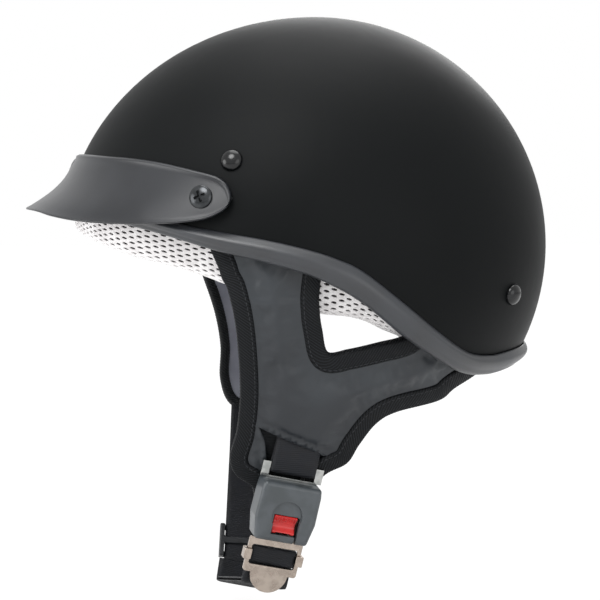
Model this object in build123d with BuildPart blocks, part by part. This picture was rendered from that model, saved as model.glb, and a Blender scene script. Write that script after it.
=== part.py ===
from build123d import *
import os
from math import cos, radians, sin, sqrt, tan

# Half shell motorcycle helmet, in millimetres.
# The origin is the centre of the head opening at the level where the shell is widest.
# The peak points along -X, the wearer's left is -Y and up is +Z.

# Dome, as its outer skin
shell_front = 144.8
shell_rear = 133.2
shell_height = 130.9
shell_half_width = 115.0
shell_wall = 3.2

# Rubber edge trim: a U section that grips the shell's rim
trim_height = 10.5
trim_proud = 2.2
trim_inner_wall = 2.0
trim_lip = 2.2

# Impact liner, comfort foam and mesh liner
layer_gap = 0.3
eps_thickness = 22.0
foam_thickness = 5.0
mesh_wall = 1.6
roll_thickness = 12.0
roll_inset = 20.0
crown_pad_radius = 42.0
crown_pad_height = 92.0

# Ear and neck panels, cut from sheets that hang from the head opening like a funnel
panel_face = 1.2
panel_foam = 3.0
panel_lining = 1.0
binding_width = 9.4
binding_wall = 0.7

# Webbing
webbing_width = 25.4
webbing_thickness = 1.6
strap_clearance = 0.4
band_thickness = 3.4
webbing_roll = 4.0
webbing_lean = 21.4
webbing_drop = 86.0

# Peak, its screws and their inserts
visor_wall = 2.6
visor_gap = 0.6
visor_flare = 22.0
screw_head_diameter = 12.7
screw_head_height = 3.4
screw_thread_diameter = 5.0
screw_length = 16.0
screw_recess_width = 1.6
screw_recess_length = 7.0
screw_recess_depth = 1.6
screw_clearance = 0.4
screw_seat_rise = 1.2
insert_diameter = 10.0
insert_height = 7.0

# Strap rivets and the washers behind the straps
rivet_head_diameter = 12.0
rivet_head_height = 4.0
rivet_shank_diameter = 4.6
washer_diameter = 12.0
washer_thickness = 1.0
rivet_tail_height = 1.6
rivet_tail_diameter = 7.5

# Quick-release buckle, in its own plane: across it, up its axis, and out of its face
buckle_width = 34.6
buckle_length = 33.0
buckle_depth = 14.5
buckle_turn = 9.0
buckle_lean = 8.0
buckle_roll = 12.0
cover_wall = 1.7
back_wall = 1.8
fit_gap = 0.35
plate_thickness = 2.0
plate_tail_width = 28.0
plate_head_width = 35.0
plate_head_length = 8.6
plate_slot_height = 3.9
plate_bar = 3.6
tongue_thickness = 2.0
blade_width = 19.0
blade_length = 15.0
latch_window_width = 9.0
latch_window_length = 5.0
latch_thickness = 0.6
latch_width = 12.0
button_width = 13.0
button_length = 10.4
button_travel = 2.5
button_top = -1.5
button_flange = 1.0
arch_radius = 8.6
arch_depth = 1.4
dish_radius = 14.0
dish_depth = 1.2
groove_width = 1.2
cover_front = 3.0
cover_rounding = 2.6
housing_corner = 2.0
plate_tail_length = 28.0
latch_window_inset = 3.0
latch_anchor_length = 3.0
ejector_length = 3.6
ejector_width = 10.0
ejector_travel = 3.2
spring_wire = 0.5
spring_radius = 0.9
spring_turns = 7
tongue_travel = 22.0
tongue_shoulder_gap = 0.6
tongue_corner = 1.6
tongue_slot_corner = 1.5
loop_high = 36.5
loop_stitch = 6.0

# Tongue plate below the buckle, and the lock bar behind its slot
tongue_width = 30.6
tongue_length = 20.0
tongue_slot_width = 26.2
tongue_slot_height = 11.4
tongue_slot_top = 4.3
tab_radius = 10.6
lock_bar_height = 6.0
lock_bar_thickness = 2.0
lock_clip_wall = 1.3

# Chin strap's route from the tongue down, under the chin and up to the slider
chin_level = 0.7
chin_tail = 4.0
chin_drop = 8.0
chin_turn = 5.0
chin_slack = 12.0
chin_end_gap = 3.0
chin_near_bend = 5.0
chin_far_bend = 4.0

# Tri-glide slider on the chin webbing
slider_width = 32.0
slider_height = 20.0
slider_seat = 2.5
slider_bar = 1.8
slider_rail = 3.4
slider_middle = 4.4

# How far a cutting solid runs past what it cuts
span = 400.0
overrun = 2.0

# The rim in side view: place along the dome, height, and the trim's height there,
# as shares of the dome's reach, of its height and of the trim's height
rim_shares = [
    (-1.100, 0.178, 0.95),
    (-0.750, 0.099, 0.95),
    (-0.570, 0.047, 0.85),
    (-0.415, -0.004, 1.02),
    (-0.240, -0.049, 1.16),
    (-0.090, -0.097, 1.22),
    (0.020, -0.150, 1.62),
    (0.130, -0.216, 1.60),
    (0.300, -0.352, 1.62),
    (0.450, -0.452, 1.30),
    (0.575, -0.522, 1.14),
    (0.680, -0.541, 1.12),
    (0.770, -0.535, 1.12),
    (0.920, -0.510, 1.12),
    (1.100, -0.450, 1.12),
]

# The lower edge of the liner's puffy roll in side view, as shares of reach and height
roll_shares = [
    (-1.100, 0.045),
    (-0.820, 0.018),
    (-0.720, -0.032),
    (-0.610, -0.063),
    (-0.465, -0.108),
    (-0.380, -0.144),
    (-0.200, -0.215),
    (-0.030, -0.266),
    (0.077, -0.278),
    (0.160, -0.300),
    (0.227, -0.335),
    (0.300, -0.365),
    (0.450, -0.435),
    (0.600, -0.490),
    (0.800, -0.500),
    (1.100, -0.430),
]

# The peak in side view, from its tip along the top edge, round the ear and back below,
# as shares of the dome's front reach and of its height
visor_top_shares = [(-1.153, 0.172), (-1.081, 0.222), (-1.0, 0.30), (-0.955, 0.398), (-0.817, 0.384)]
visor_side_shares = [(-0.703, 0.370), (-0.594, 0.348), (-0.490, 0.323), (-0.420, 0.300)]
visor_ear_shares = [(-0.372, 0.255), (-0.366, 0.205), (-0.388, 0.163), (-0.445, 0.130), (-0.510, 0.115)]
visor_low_shares = [(-0.594, 0.107), (-0.822, 0.102), (-0.960, 0.113), (-1.085, 0.136)]

# How far the peak flares forwards at each height, as shares of the dome's height and of the flare
visor_flare_shares = [
    (0.42, 0.0), (0.37, 0.02), (0.30, 0.10), (0.25, 0.28), (0.21, 0.53), (0.16, 0.93), (0.08, 1.60)]

# Cross sections of the panels' funnel: height, centre, and half length and half width,
# as shares of the dome's height, of its front reach and of its half width
funnel_shares = [
    (0.55, -0.075, 0.985, 0.985),
    (-0.215, -0.085, 0.930, 0.878),
    (-1.240, -0.180, 0.667, 0.420),
]

# Outline of the left panel in side view, as shares of the dome's half width both ways
left_panel_shares = [
    (-0.545, 0.150),
    (-0.500, -0.100),
    (-0.462, -0.190),
    (-0.422, -0.380),
    (-0.400, -0.660),
    (-0.420, -0.860),
    (-0.458, -1.000),
    (-0.420, -1.090),
    (-0.340, -1.140),
    (-0.300, -1.230),
    (-0.120, -1.230),
    (0.000, -1.090),
    (0.110, -1.030),
    (0.165, -0.940),
    (0.245, -0.835),
    (0.345, -0.780),
    (0.560, -0.735),
    (0.640, -0.680),
    (0.800, -0.585),
    (0.860, -0.440),
    (0.520, -0.340),
    (0.380, -0.425),
    (0.256, -0.455),
    (0.108, -0.486),
    (0.012, -0.494),
    (-0.018, -0.382),
    (-0.030, -0.240),
    (-0.042, 0.150),
]

# The right panel ends higher, where the chin webbing leaves it
right_panel_shares = left_panel_shares[:4] + [
    (-0.440, -0.560),
    (-0.452, -0.735),
    (-0.395, -0.865),
    (-0.230, -0.905),
    (-0.060, -0.905),
    (0.110, -0.890),
] + left_panel_shares[14:]

# Where the rivets and the peak's side screws sit in side view, as shares of reach and height
front_rivet_share = (-0.358, 0.362)
rear_rivet_share = (0.778, -0.195)
visor_screw_share = (-0.458, 0.207)
centre_screw_share = 0.336

# Straps in side view, from the rivet to the lower end, as shares of the dome's half width
front_strap_shares = [(-0.300, 0.060), (-0.225, -0.780)]
rear_strap_shares = [(0.600, -0.600), (0.050, -0.800)]

# Corner radii of the panels' outlines
panel_corner = 5.0

# Centre of the buckle's back, as shares of the dome's half width
buckle_place_share = (-0.200, -0.539, -1.243)

# Top of the right webbing where it leaves the panel, as shares of the dome's half width
webbing_place_share = (-0.289, 0.607, -0.913)

# Right half of the buckle's outline, from top to bottom, as shares of its half width and length
housing_shares = [(0.94, 1.0), (0.985, 0.70), (1.0, -0.25), (0.86, -1.0)]


def side_x(share):
    """Place along the dome from a share of its reach, forwards or backwards."""
    return share * (shell_front if share < 0 else shell_rear)


def rim_line(lift=0.0, trims=0.0):
    """The rim's points in side view, raised by lift and by trims of its trim heights."""
    return [(side_x(x), z * shell_height + lift + trims * tall * trim_height) for x, z, tall in rim_shares]


def roll_line():
    """The lower edge of the liner's roll in side view."""
    return [(side_x(x), z * shell_height) for x, z in roll_shares]


def by_front(shares):
    """Side-view points from shares of the front reach and the height."""
    return [(x * shell_front, z * shell_height) for x, z in shares]


def by_width(shares):
    """Side-view points from shares of the half width."""
    return [(x * shell_half_width, z * shell_half_width) for x, z in shares]


def dome(inset):
    """The egg inside the outer skin, moved inwards by inset all round."""
    front, rear, height = shell_front - inset, shell_rear - inset, shell_height - inset
    with BuildPart() as egg:
        with BuildSketch(Plane.XZ):
            with BuildLine():
                EllipticalCenterArc((0, 0), rear, height, start_angle=0, arc_size=90)
                EllipticalCenterArc((0, 0), front, height, start_angle=90, arc_size=90)
                Line((-front, 0), (rear, 0))
            make_face()
        revolve(axis=Axis.X)
        scale(by=(1, (shell_half_width - inset) / height, 1))
    return egg.part


def skin_y(x, z):
    """Half width of the dome's outer skin at a side-view point."""
    reach = shell_front if x < 0 else shell_rear
    return shell_half_width * sqrt(1 - (x / reach) ** 2 - (z / shell_height) ** 2)


def skin_plane(x, z, side):
    """Plane on the outer skin at a side-view point, facing outwards; side is -1 for left."""
    reach = shell_front if x < 0 else shell_rear
    y = side * skin_y(x, z)
    outward = (x / reach**2, y / shell_half_width**2, z / shell_height**2)
    return Plane(origin=(x, y, z), x_dir=(-outward[1], outward[0], 0), z_dir=outward)


def between(low, high):
    """Everything between two side-view lines, through the helmet's whole width."""
    with BuildPart() as slab:
        with BuildSketch(Plane.XZ):
            with BuildLine():
                bottom = Spline(*low)
                top = Spline(*high)
                Line(bottom @ 1, top @ 1)
                Line(top @ 0, bottom @ 0)
            make_face()
        extrude(amount=span, both=True)
    return slab.part


def above(low):
    """Everything above a side-view line, through the helmet's whole width."""
    with BuildPart() as slab:
        with BuildSketch(Plane.XZ):
            with BuildLine():
                bottom = Spline(*low)
                Polyline(bottom @ 1, ((bottom @ 1).X, span), ((bottom @ 0).X, span), bottom @ 0)
            make_face()
        extrude(amount=span, both=True)
    return slab.part


def funnel(depth):
    """The solid that the panels' sheets are cut from, moved inwards by depth."""
    with BuildPart() as cone:
        for height, centre, half_length, half_width in funnel_shares:
            with BuildSketch(Plane.XY.offset(height * shell_height)):
                with Locations((centre * shell_front, 0)):
                    Ellipse(half_length * shell_front - depth, half_width * shell_half_width - depth)
        loft(ruled=True)
    return cone.part


def panel_prism(points, side, inset):
    """A panel's outline, drawn in by inset, on its side of the helmet and below the liner."""
    with BuildPart() as prism:
        with BuildSketch(Plane.XZ):
            with BuildLine():
                Polyline(*points, close=True)
            face = make_face()
            fillet(face.vertices(), panel_corner)
            if inset:
                offset(amount=-inset, kind=Kind.ARC, mode=Mode.REPLACE)
        extrude(amount=-side * span)
        add(panel_top, mode=Mode.INTERSECT)
    return prism.part


def strap_prism(points, side, width):
    """A strap's round-ended run in side view, on its side of the helmet."""
    with BuildPart() as prism:
        with BuildSketch(Plane.XZ):
            for start, end in zip(points, points[1:]):
                middle = ((start[0] + end[0]) / 2, (start[1] + end[1]) / 2)
                SlotCenterPoint(middle, end, width)
        extrude(amount=-side * span)
    return prism.part


def leaning_plane(origin, turn_degrees, lean_degrees, roll_degrees):
    """A plane that faces the wearer's left, after a turn, a lean and a roll."""
    turn, lean, roll = radians(turn_degrees), radians(lean_degrees), radians(roll_degrees)
    outward = Vector(sin(turn) * cos(lean), -cos(turn) * cos(lean), -sin(lean))
    across = Vector(cos(turn), sin(turn), 0)
    return Plane(origin=origin, x_dir=across * cos(roll) - outward.cross(across) * sin(roll), z_dir=outward)


def side_plane(plane):
    """The same place seen from its side: x up the plane and y out of its face."""
    return Plane(origin=plane.origin, x_dir=plane.y_dir, z_dir=plane.x_dir)


def finish(builder, name):
    """Label a finished piece and write it to its own file."""
    builder.part.label = name
    export_step(builder.part, f"parts/{name}.step")


os.makedirs("parts", exist_ok=True)

# Depths of the layers under the outer skin
eps_outer = shell_wall + layer_gap
eps_inner = eps_outer + eps_thickness
foam_outer = eps_inner + layer_gap
foam_inner = foam_outer + foam_thickness
mesh_outer = foam_inner + layer_gap
mesh_inner = mesh_outer + mesh_wall
strap_depth = panel_face + layer_gap
panel_total = panel_face + panel_foam + panel_lining
strap_skin = eps_outer + layer_gap

skin_outer = dome(0)
skin_inner = dome(shell_wall)
liner_base = above(rim_line(lift=trim_lip, trims=1))

# Fastener places
side_screws, front_rivets, rear_rivets = (
    [skin_plane(side_x(share[0]), share[1] * shell_height, side) for side in (-1, 1)]
    for share in (visor_screw_share, front_rivet_share, rear_rivet_share))
rivets = front_rivets + rear_rivets
centre_z = centre_screw_share * shell_height
centre_x = -shell_front * sqrt(1 - (centre_z / shell_height) ** 2)
centre_screw = Plane(
    origin=(centre_x, 0, centre_z),
    x_dir=(0, 1, 0),
    z_dir=(centre_x / shell_front**2, 0, centre_z / shell_height**2),
)
screws = side_screws + [centre_screw]

# Outer shell
with BuildPart() as outer_shell:
    add(skin_outer)
    add(skin_inner, mode=Mode.SUBTRACT)
    add(above(rim_line(lift=trim_lip)), mode=Mode.INTERSECT)
    for plane in rivets:
        with BuildSketch(plane):
            Circle(rivet_shank_diameter / 2 + screw_clearance)
    for plane in screws:
        with BuildSketch(plane):
            Circle(screw_thread_diameter / 2 + screw_clearance)
    extrude(amount=shell_wall * 3, both=True, mode=Mode.SUBTRACT)
finish(outer_shell, "outer_shell")

# Edge trim
with BuildPart() as edge_trim:
    add(dome(-trim_proud))
    add(dome(shell_wall + trim_inner_wall), mode=Mode.SUBTRACT)
    add(between(rim_line(), rim_line(trims=1)), mode=Mode.INTERSECT)
    add(outer_shell.part, mode=Mode.SUBTRACT)
finish(edge_trim, "edge_trim")
print("shell", round(outer_shell.part.volume), "trim", round(edge_trim.part.volume))

# Peak: a wall that follows the shell at its top and flares forwards below
flare_levels = [(z * shell_height, share * visor_flare) for z, share in visor_flare_shares]
visor_outer = visor_gap + visor_wall
screw_seat = visor_outer + screw_seat_rise


def peak_solid(proud):
    """The peak's outer or inner form, as stacked ovals round the dome."""
    with BuildPart() as form:
        for z, flare in flare_levels:
            round_share = sqrt(1 - (z / shell_height) ** 2)
            with BuildSketch(Plane.XY.offset(z)):
                Ellipse(shell_front * round_share + proud + flare, shell_half_width * round_share + proud)
        loft(ruled=True)
    return form.part


with BuildPart() as visor:
    add(peak_solid(visor_outer))
    add(peak_solid(visor_gap), mode=Mode.SUBTRACT)
    with BuildSketch(Plane.XZ):
        with BuildLine():
            top_edge = Spline(*by_front(visor_top_shares))
            side_edge = Spline(top_edge @ 1, *by_front(visor_side_shares))
            ear_edge = Spline(side_edge @ 1, *by_front(visor_ear_shares))
            low_edge = Spline(ear_edge @ 1, *by_front(visor_low_shares), top_edge @ 0)
        make_face()
    extrude(amount=span, both=True, mode=Mode.INTERSECT)
    add(dome(-visor_gap / 2), mode=Mode.SUBTRACT)
    for plane in screws:
        with BuildSketch(plane):
            Circle(screw_thread_diameter / 2 + screw_clearance)
        extrude(amount=visor_outer * 3, both=True, mode=Mode.SUBTRACT)
        with BuildSketch(plane.offset(screw_seat - layer_gap)):
            Circle(screw_head_diameter / 2 + screw_clearance)
        extrude(amount=visor_outer * 3, mode=Mode.SUBTRACT)
finish(visor, "visor")
print("visor", round(visor.part.volume), len(visor.part.solids()))

# Peak screws, one at each side and one in the middle of the front
with BuildPart() as visor_screws:
    for plane in screws:
        head = plane.offset(screw_seat)
        with BuildSketch(head):
            Circle(screw_head_diameter / 2)
        extrude(amount=screw_head_height)
        with BuildSketch(head):
            Circle(screw_thread_diameter / 2)
        extrude(amount=-screw_length)
        for turn in (0, 90):
            with BuildSketch(head.offset(screw_head_height - screw_recess_depth)):
                Rectangle(screw_recess_length, screw_recess_width, rotation=turn)
            extrude(amount=screw_head_height, mode=Mode.SUBTRACT)
finish(visor_screws, "visor_screws")

# Flanged nuts that the peak's screws turn into, behind the shell
with BuildPart() as visor_inserts:
    for plane in screws:
        seat = plane.offset(-shell_wall - layer_gap)
        with BuildSketch(seat):
            Circle(insert_diameter / 2)
            Circle(screw_thread_diameter / 2 + screw_clearance / 2, mode=Mode.SUBTRACT)
        extrude(amount=-insert_height)
finish(visor_inserts, "visor_inserts")

# Rivets: a domed head outside, and a clenched tail behind the strap and washer
rivet_grip = strap_skin + webbing_thickness + washer_thickness + 3 * layer_gap
with BuildPart() as strap_rivets:
    for plane in rivets:
        with BuildSketch(plane.offset(layer_gap)):
            Circle(rivet_head_diameter / 2)
        extrude(amount=rivet_head_height, taper=28)
        with BuildSketch(plane.offset(layer_gap)):
            Circle(rivet_shank_diameter / 2)
        extrude(amount=-rivet_grip - layer_gap - rivet_tail_height)
        with BuildSketch(plane.offset(-rivet_grip)):
            Circle(rivet_tail_diameter / 2)
        extrude(amount=-rivet_tail_height)
finish(strap_rivets, "strap_rivets")

with BuildPart() as rivet_washers:
    for plane in rivets:
        with BuildSketch(plane.offset(-rivet_grip + layer_gap + washer_thickness)):
            Circle(washer_diameter / 2)
            Circle(rivet_shank_diameter / 2 + screw_clearance / 2, mode=Mode.SUBTRACT)
        extrude(amount=-washer_thickness)
finish(rivet_washers, "rivet_washers")

# Straps: webbing that lies in the panel's sheet and, higher up, against the shell
below_rim = between(rim_line(lift=-span), rim_line(lift=-overrun))


def strap_bound(depth):
    """Everything inside both the panel's sheet and the shell, at a depth under each."""
    with BuildPart() as bound:
        add(dome(strap_skin + depth))
        add(below_rim)
        add(funnel(strap_depth + depth), mode=Mode.INTERSECT)
    return bound.part


strap_outside = strap_bound(0)
strap_inside = strap_bound(webbing_thickness)
channel_outside = strap_bound(-strap_clearance)
channel_inside = strap_bound(webbing_thickness + strap_clearance)


def strap(points, side, rivet, beside=None):
    """One strap from its rivet down into the panel, cut off where it meets the strap beside it."""
    with BuildPart() as webbing:
        add(strap_outside)
        add(strap_prism(points, side, webbing_width), mode=Mode.INTERSECT)
        add(strap_inside, mode=Mode.SUBTRACT)
        with BuildSketch(rivet):
            Circle(rivet_shank_diameter / 2 + screw_clearance)
        extrude(amount=-rivet_grip * 2, mode=Mode.SUBTRACT)
        if beside:
            add(beside, mode=Mode.SUBTRACT)
    return webbing


def rivet_side_point(share):
    """A rivet's place in side view."""
    return (side_x(share[0]), share[1] * shell_height)


front_strap_line = [rivet_side_point(front_rivet_share)] + by_width(front_strap_shares)
rear_strap_line = [rivet_side_point(rear_rivet_share)] + by_width(rear_strap_shares)
channel_width = webbing_width + 2 * strap_clearance
sides = {"left": -1, "right": 1}
for number, (word, side) in enumerate(sides.items()):
    finish(strap(front_strap_line, side, front_rivets[number]), f"{word}_front_strap")
    beside = strap_prism(front_strap_line, side, channel_width)
    finish(strap(rear_strap_line, side, rear_rivets[number], beside), f"{word}_rear_strap")

# Impact liner, with channels for the straps and pockets for what the fasteners leave inside
with BuildPart() as strap_channels:
    for side in sides.values():
        for line in (front_strap_line, rear_strap_line):
            add(strap_prism(line, side, channel_width))
    add(channel_inside, mode=Mode.SUBTRACT)
with BuildPart() as eps_liner:
    add(dome(eps_outer))
    add(dome(eps_inner), mode=Mode.SUBTRACT)
    add(liner_base, mode=Mode.INTERSECT)
    add(strap_channels.part, mode=Mode.SUBTRACT)
    for plane in rivets:
        with BuildSketch(plane):
            Circle(washer_diameter / 2 + strap_clearance)
        extrude(amount=-rivet_grip - rivet_tail_height - strap_clearance, mode=Mode.SUBTRACT)
    for plane in screws:
        with BuildSketch(plane):
            Circle(insert_diameter / 2 + strap_clearance)
        extrude(amount=-screw_length, mode=Mode.SUBTRACT)
finish(eps_liner, "eps_liner")
print("eps", round(eps_liner.part.volume), len(eps_liner.part.solids()))

# Comfort foam round the head, and a separate pad in the crown
with BuildPart() as foam_layer:
    add(dome(foam_outer))
    add(dome(foam_inner), mode=Mode.SUBTRACT)
with BuildPart() as comfort_foam:
    add(foam_layer.part)
    add(liner_base, mode=Mode.INTERSECT)
    with BuildSketch(Plane.XY.offset(crown_pad_height)):
        Circle(crown_pad_radius + layer_gap)
    extrude(amount=span, mode=Mode.SUBTRACT)
finish(comfort_foam, "comfort_foam")
with BuildPart() as crown_pad:
    add(foam_layer.part)
    with BuildSketch(Plane.XY.offset(crown_pad_height)):
        Circle(crown_pad_radius)
    extrude(amount=span, mode=Mode.INTERSECT)
finish(crown_pad, "crown_pad")

# Mesh liner inside the foam, and the puffy roll that closes the liner's edge
with BuildPart() as mesh_liner:
    add(dome(mesh_outer))
    add(dome(mesh_inner), mode=Mode.SUBTRACT)
    add(liner_base, mode=Mode.INTERSECT)
finish(mesh_liner, "mesh_liner")
panel_top = between(rim_line(lift=-span), rim_line(lift=trim_lip - 2 * layer_gap, trims=1))
outlines = {"left": by_width(left_panel_shares), "right": by_width(right_panel_shares)}
with BuildPart() as panel_dents:
    for word, side in sides.items():
        add(panel_prism(outlines[word], side, -layer_gap))
    add(funnel(panel_total + binding_wall + layer_gap), mode=Mode.SUBTRACT)
with BuildPart() as liner_roll:
    add(dome(roll_inset))
    add(dome(roll_inset + roll_thickness), mode=Mode.SUBTRACT)
    add(between(roll_line(), rim_line(lift=trim_lip - layer_gap, trims=1)), mode=Mode.INTERSECT)
    add(panel_dents.part, mode=Mode.SUBTRACT)
finish(liner_roll, "liner_roll")
print("roll", round(liner_roll.part.volume), len(liner_roll.part.solids()))

# Buckle levels out of its back: rear cover, frame plate, tongue, latch leaf and button
plate_base = back_wall + fit_gap
plate_top = plate_base + plate_thickness
tongue_base = plate_top + fit_gap
tongue_top = tongue_base + tongue_thickness
leaf_base = tongue_top + 2 * fit_gap
leaf_top = leaf_base + latch_thickness
button_base = leaf_top + button_travel + fit_gap
half_length = buckle_length / 2
half_width = buckle_width / 2

buckle_origin = [share * shell_half_width for share in buckle_place_share]
buckle = leaning_plane(buckle_origin, buckle_turn, buckle_lean, buckle_roll)
buckle_side = side_plane(buckle)


def level(height):
    """The buckle's plane, moved out of its back by height."""
    return buckle.offset(height)


def block(plane, left, right, low, high, thickness):
    """A flat rectangular block that stands on a plane."""
    with BuildPart() as slab:
        with BuildSketch(plane):
            with Locations(((left + right) / 2, (low + high) / 2)):
                Rectangle(right - left, high - low)
        extrude(amount=thickness)
    return slab.part


housing_outline = [(x * half_width, y * half_length) for x, y in housing_shares]
housing_outline += [(-x, y) for x, y in reversed(housing_outline)]

# Frame plate: a tail in the housing, and a head with the bar that the left webbing goes round
head_top = half_length + plate_head_length
slot_top = head_top - plate_bar
with BuildPart() as buckle_plate:
    with BuildSketch(level(plate_base)):
        with Locations((0, half_length + layer_gap + plate_head_length / 2 - plate_tail_length / 2)):
            Rectangle(plate_tail_width, plate_head_length + plate_tail_length)
        with Locations((0, half_length + layer_gap + plate_head_length / 2)):
            Rectangle(plate_head_width, plate_head_length)
        with Locations((0, slot_top - plate_slot_height / 2)):
            RectangleRounded(channel_width, plate_slot_height, layer_gap, mode=Mode.SUBTRACT)
    extrude(amount=plate_thickness)
finish(buckle_plate, "buckle_plate")

# Rear cover of the buckle
with BuildPart() as buckle_back:
    with BuildSketch(level(0)):
        with BuildLine():
            Polyline(*housing_outline, close=True)
        back_face = make_face()
        fillet(back_face.vertices(), housing_corner)
    extrude(amount=back_wall)
finish(buckle_back, "buckle_back")

# Front cover: hollow, with the button's window, the thumb arch above it, and slots at both ends
button_low = button_top - button_length
with BuildPart() as buckle_cover:
    with BuildSketch(level(back_wall)):
        with BuildLine():
            Polyline(*housing_outline, close=True)
        cover_face = make_face()
        fillet(cover_face.vertices(), housing_corner)
    extrude(amount=buckle_depth - back_wall)
    front_edges = buckle_cover.faces().sort_by(Axis(buckle.origin, buckle.z_dir))[-1].edges()
    fillet(front_edges, cover_rounding)
    with BuildSketch(level(back_wall)):
        with BuildLine():
            Polyline(*housing_outline, close=True)
        make_face()
        offset(amount=-cover_wall, mode=Mode.REPLACE)
    extrude(amount=buckle_depth - back_wall - cover_front, mode=Mode.SUBTRACT)
    arch = level(buckle_depth - arch_depth)
    with BuildSketch(arch):
        with Locations((0, button_top)):
            Circle(arch_radius)
        with Locations((0, button_low - arch_radius)):
            Rectangle(2 * arch_radius, button_length + 2 * arch_radius, mode=Mode.SUBTRACT)
    extrude(amount=buckle_depth, mode=Mode.SUBTRACT)
    reach = button_width / 2 + fit_gap
    tail = plate_tail_width / 2 + fit_gap
    blade = blade_width / 2 + fit_gap
    button_hole = (-reach, reach, button_low - fit_gap, button_top + fit_gap, buckle_depth)
    side_groove = (reach, reach + groove_width, -half_length - overrun, button_top, buckle_depth)
    tail_slot = (-tail, tail, 0, half_length + overrun, plate_top + fit_gap - back_wall)
    blade_slot = (-blade, blade, -half_length - overrun, 0, tongue_top + fit_gap - back_wall)
    for cut in (button_hole, side_groove, tail_slot, blade_slot):
        add(block(level(back_wall), *cut), mode=Mode.SUBTRACT)
finish(buckle_cover, "buckle_cover")
print("cover", round(buckle_cover.part.volume), len(buckle_cover.part.solids()))

# Release button, with a flange under the cover's window and a dished face
with BuildPart() as release_button:
    reach = button_width / 2
    flange = reach + button_flange
    button_height = buckle_depth - arch_depth / 2 - button_base
    flange_height = buckle_depth - cover_front - fit_gap - button_base
    add(block(level(button_base), -reach, reach, button_low, button_top, button_height))
    add(block(level(button_base), -flange, reach, button_low, button_top, flange_height))
    with BuildSketch(buckle_side.offset(-button_width)):
        dish_height = buckle_depth - arch_depth / 2 + dish_radius - dish_depth
        with Locations(((button_low + button_top) / 2, dish_height)):
            Circle(dish_radius)
    extrude(amount=2 * button_width, mode=Mode.SUBTRACT)
finish(release_button, "release_button")

# Latch: a leaf fixed to the plate at its upper end, with a tooth in the tongue's window
window_top = -half_length + blade_length - latch_window_inset
window_low = window_top - latch_window_length
anchor_low = half_length - cover_wall - latch_anchor_length
with BuildPart() as latch:
    reach = latch_width / 2
    tooth = latch_window_width / 2 - fit_gap
    foot_base = plate_top + fit_gap
    tooth_base = tongue_base + fit_gap
    foot_high = anchor_low + latch_anchor_length - fit_gap
    tooth_low, tooth_high = window_low + fit_gap, window_top - fit_gap
    add(block(level(leaf_base), -reach, reach, window_low - fit_gap, foot_high, latch_thickness))
    add(block(level(foot_base), -reach, reach, anchor_low, foot_high, leaf_base - foot_base))
    add(block(level(tooth_base), -tooth, tooth, tooth_low, tooth_high, leaf_base - tooth_base))
finish(latch, "latch")

# Ejector and its spring, between the tongue's end and the latch's foot
ejector_low = -half_length + blade_length + fit_gap
ejector_high = ejector_low + ejector_length
with BuildPart() as ejector:
    reach = ejector_width / 2
    add(block(level(tongue_base), -reach, reach, ejector_low, ejector_high, tongue_thickness))
finish(ejector, "ejector")

spring_length = anchor_low - ejector_high - 2 * fit_gap - spring_wire
spring_foot = ejector_high + fit_gap + spring_wire / 2
spring_start = buckle.from_local_coords(Vector(0, spring_foot, (tongue_base + tongue_top) / 2))
spring_pitch = spring_length / spring_turns
with BuildPart() as ejector_spring:
    with BuildLine():
        coil = Helix(spring_pitch, spring_length, spring_radius, center=spring_start, direction=buckle.y_dir)
    with BuildSketch(Plane(origin=coil @ 0, z_dir=coil % 0)):
        Circle(spring_wire / 2)
    sweep()
finish(ejector_spring, "ejector_spring")

# Tongue: a blade with the latch's window, the plate with the webbing slot, and a finger tab
plate_edge = -half_length - tongue_shoulder_gap
tongue_low = plate_edge - tongue_length
slot_high = plate_edge - tongue_slot_top
slot_middle = slot_high - tongue_slot_height / 2
with BuildPart() as tongue:
    with BuildSketch(level(tongue_base)):
        with Locations((0, (plate_edge + tongue_low) / 2)):
            plate_face = Rectangle(tongue_width, tongue_length)
            fillet(plate_face.vertices(), tongue_corner)
        with Locations((0, (plate_edge + ejector_low - fit_gap) / 2 - fit_gap)):
            Rectangle(blade_width, ejector_low - fit_gap - plate_edge + 2 * fit_gap)
        with Locations((0, tongue_low)):
            Circle(tab_radius)
        with Locations((0, slot_middle)):
            RectangleRounded(tongue_slot_width, tongue_slot_height, tongue_slot_corner, mode=Mode.SUBTRACT)
        with Locations((0, (window_low + window_top) / 2)):
            Rectangle(latch_window_width, latch_window_length, mode=Mode.SUBTRACT)
    extrude(amount=tongue_thickness)
finish(tongue, "tongue")

# Lock bar behind the tongue's slot, with its ends folded round the tongue's rails
lock_base = tongue_base - fit_gap - lock_bar_thickness
lock_reach = tongue_width / 2 + fit_gap + lock_clip_wall
clip_top = tongue_top + fit_gap + lock_clip_wall
with BuildPart() as lock_bar:
    lock_low, lock_high = slot_middle - lock_bar_height / 2, slot_middle + lock_bar_height / 2
    add(block(level(lock_base), -lock_reach, lock_reach, lock_low, lock_high, lock_bar_thickness))
    for hand in (-1, 1):
        wall = sorted((hand * lock_reach, hand * (lock_reach - lock_clip_wall)))
        flap = sorted((hand * lock_reach, hand * (webbing_width / 2)))
        add(block(level(lock_base), *wall, lock_low, lock_high, clip_top - lock_base))
        add(block(level(clip_top - lock_clip_wall), *flap, lock_low, lock_high, lock_clip_wall))
finish(lock_bar, "lock_bar")
print("tongue", round(tongue.part.volume), "lock", round(lock_bar.part.volume), len(lock_bar.part.solids()))

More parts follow.
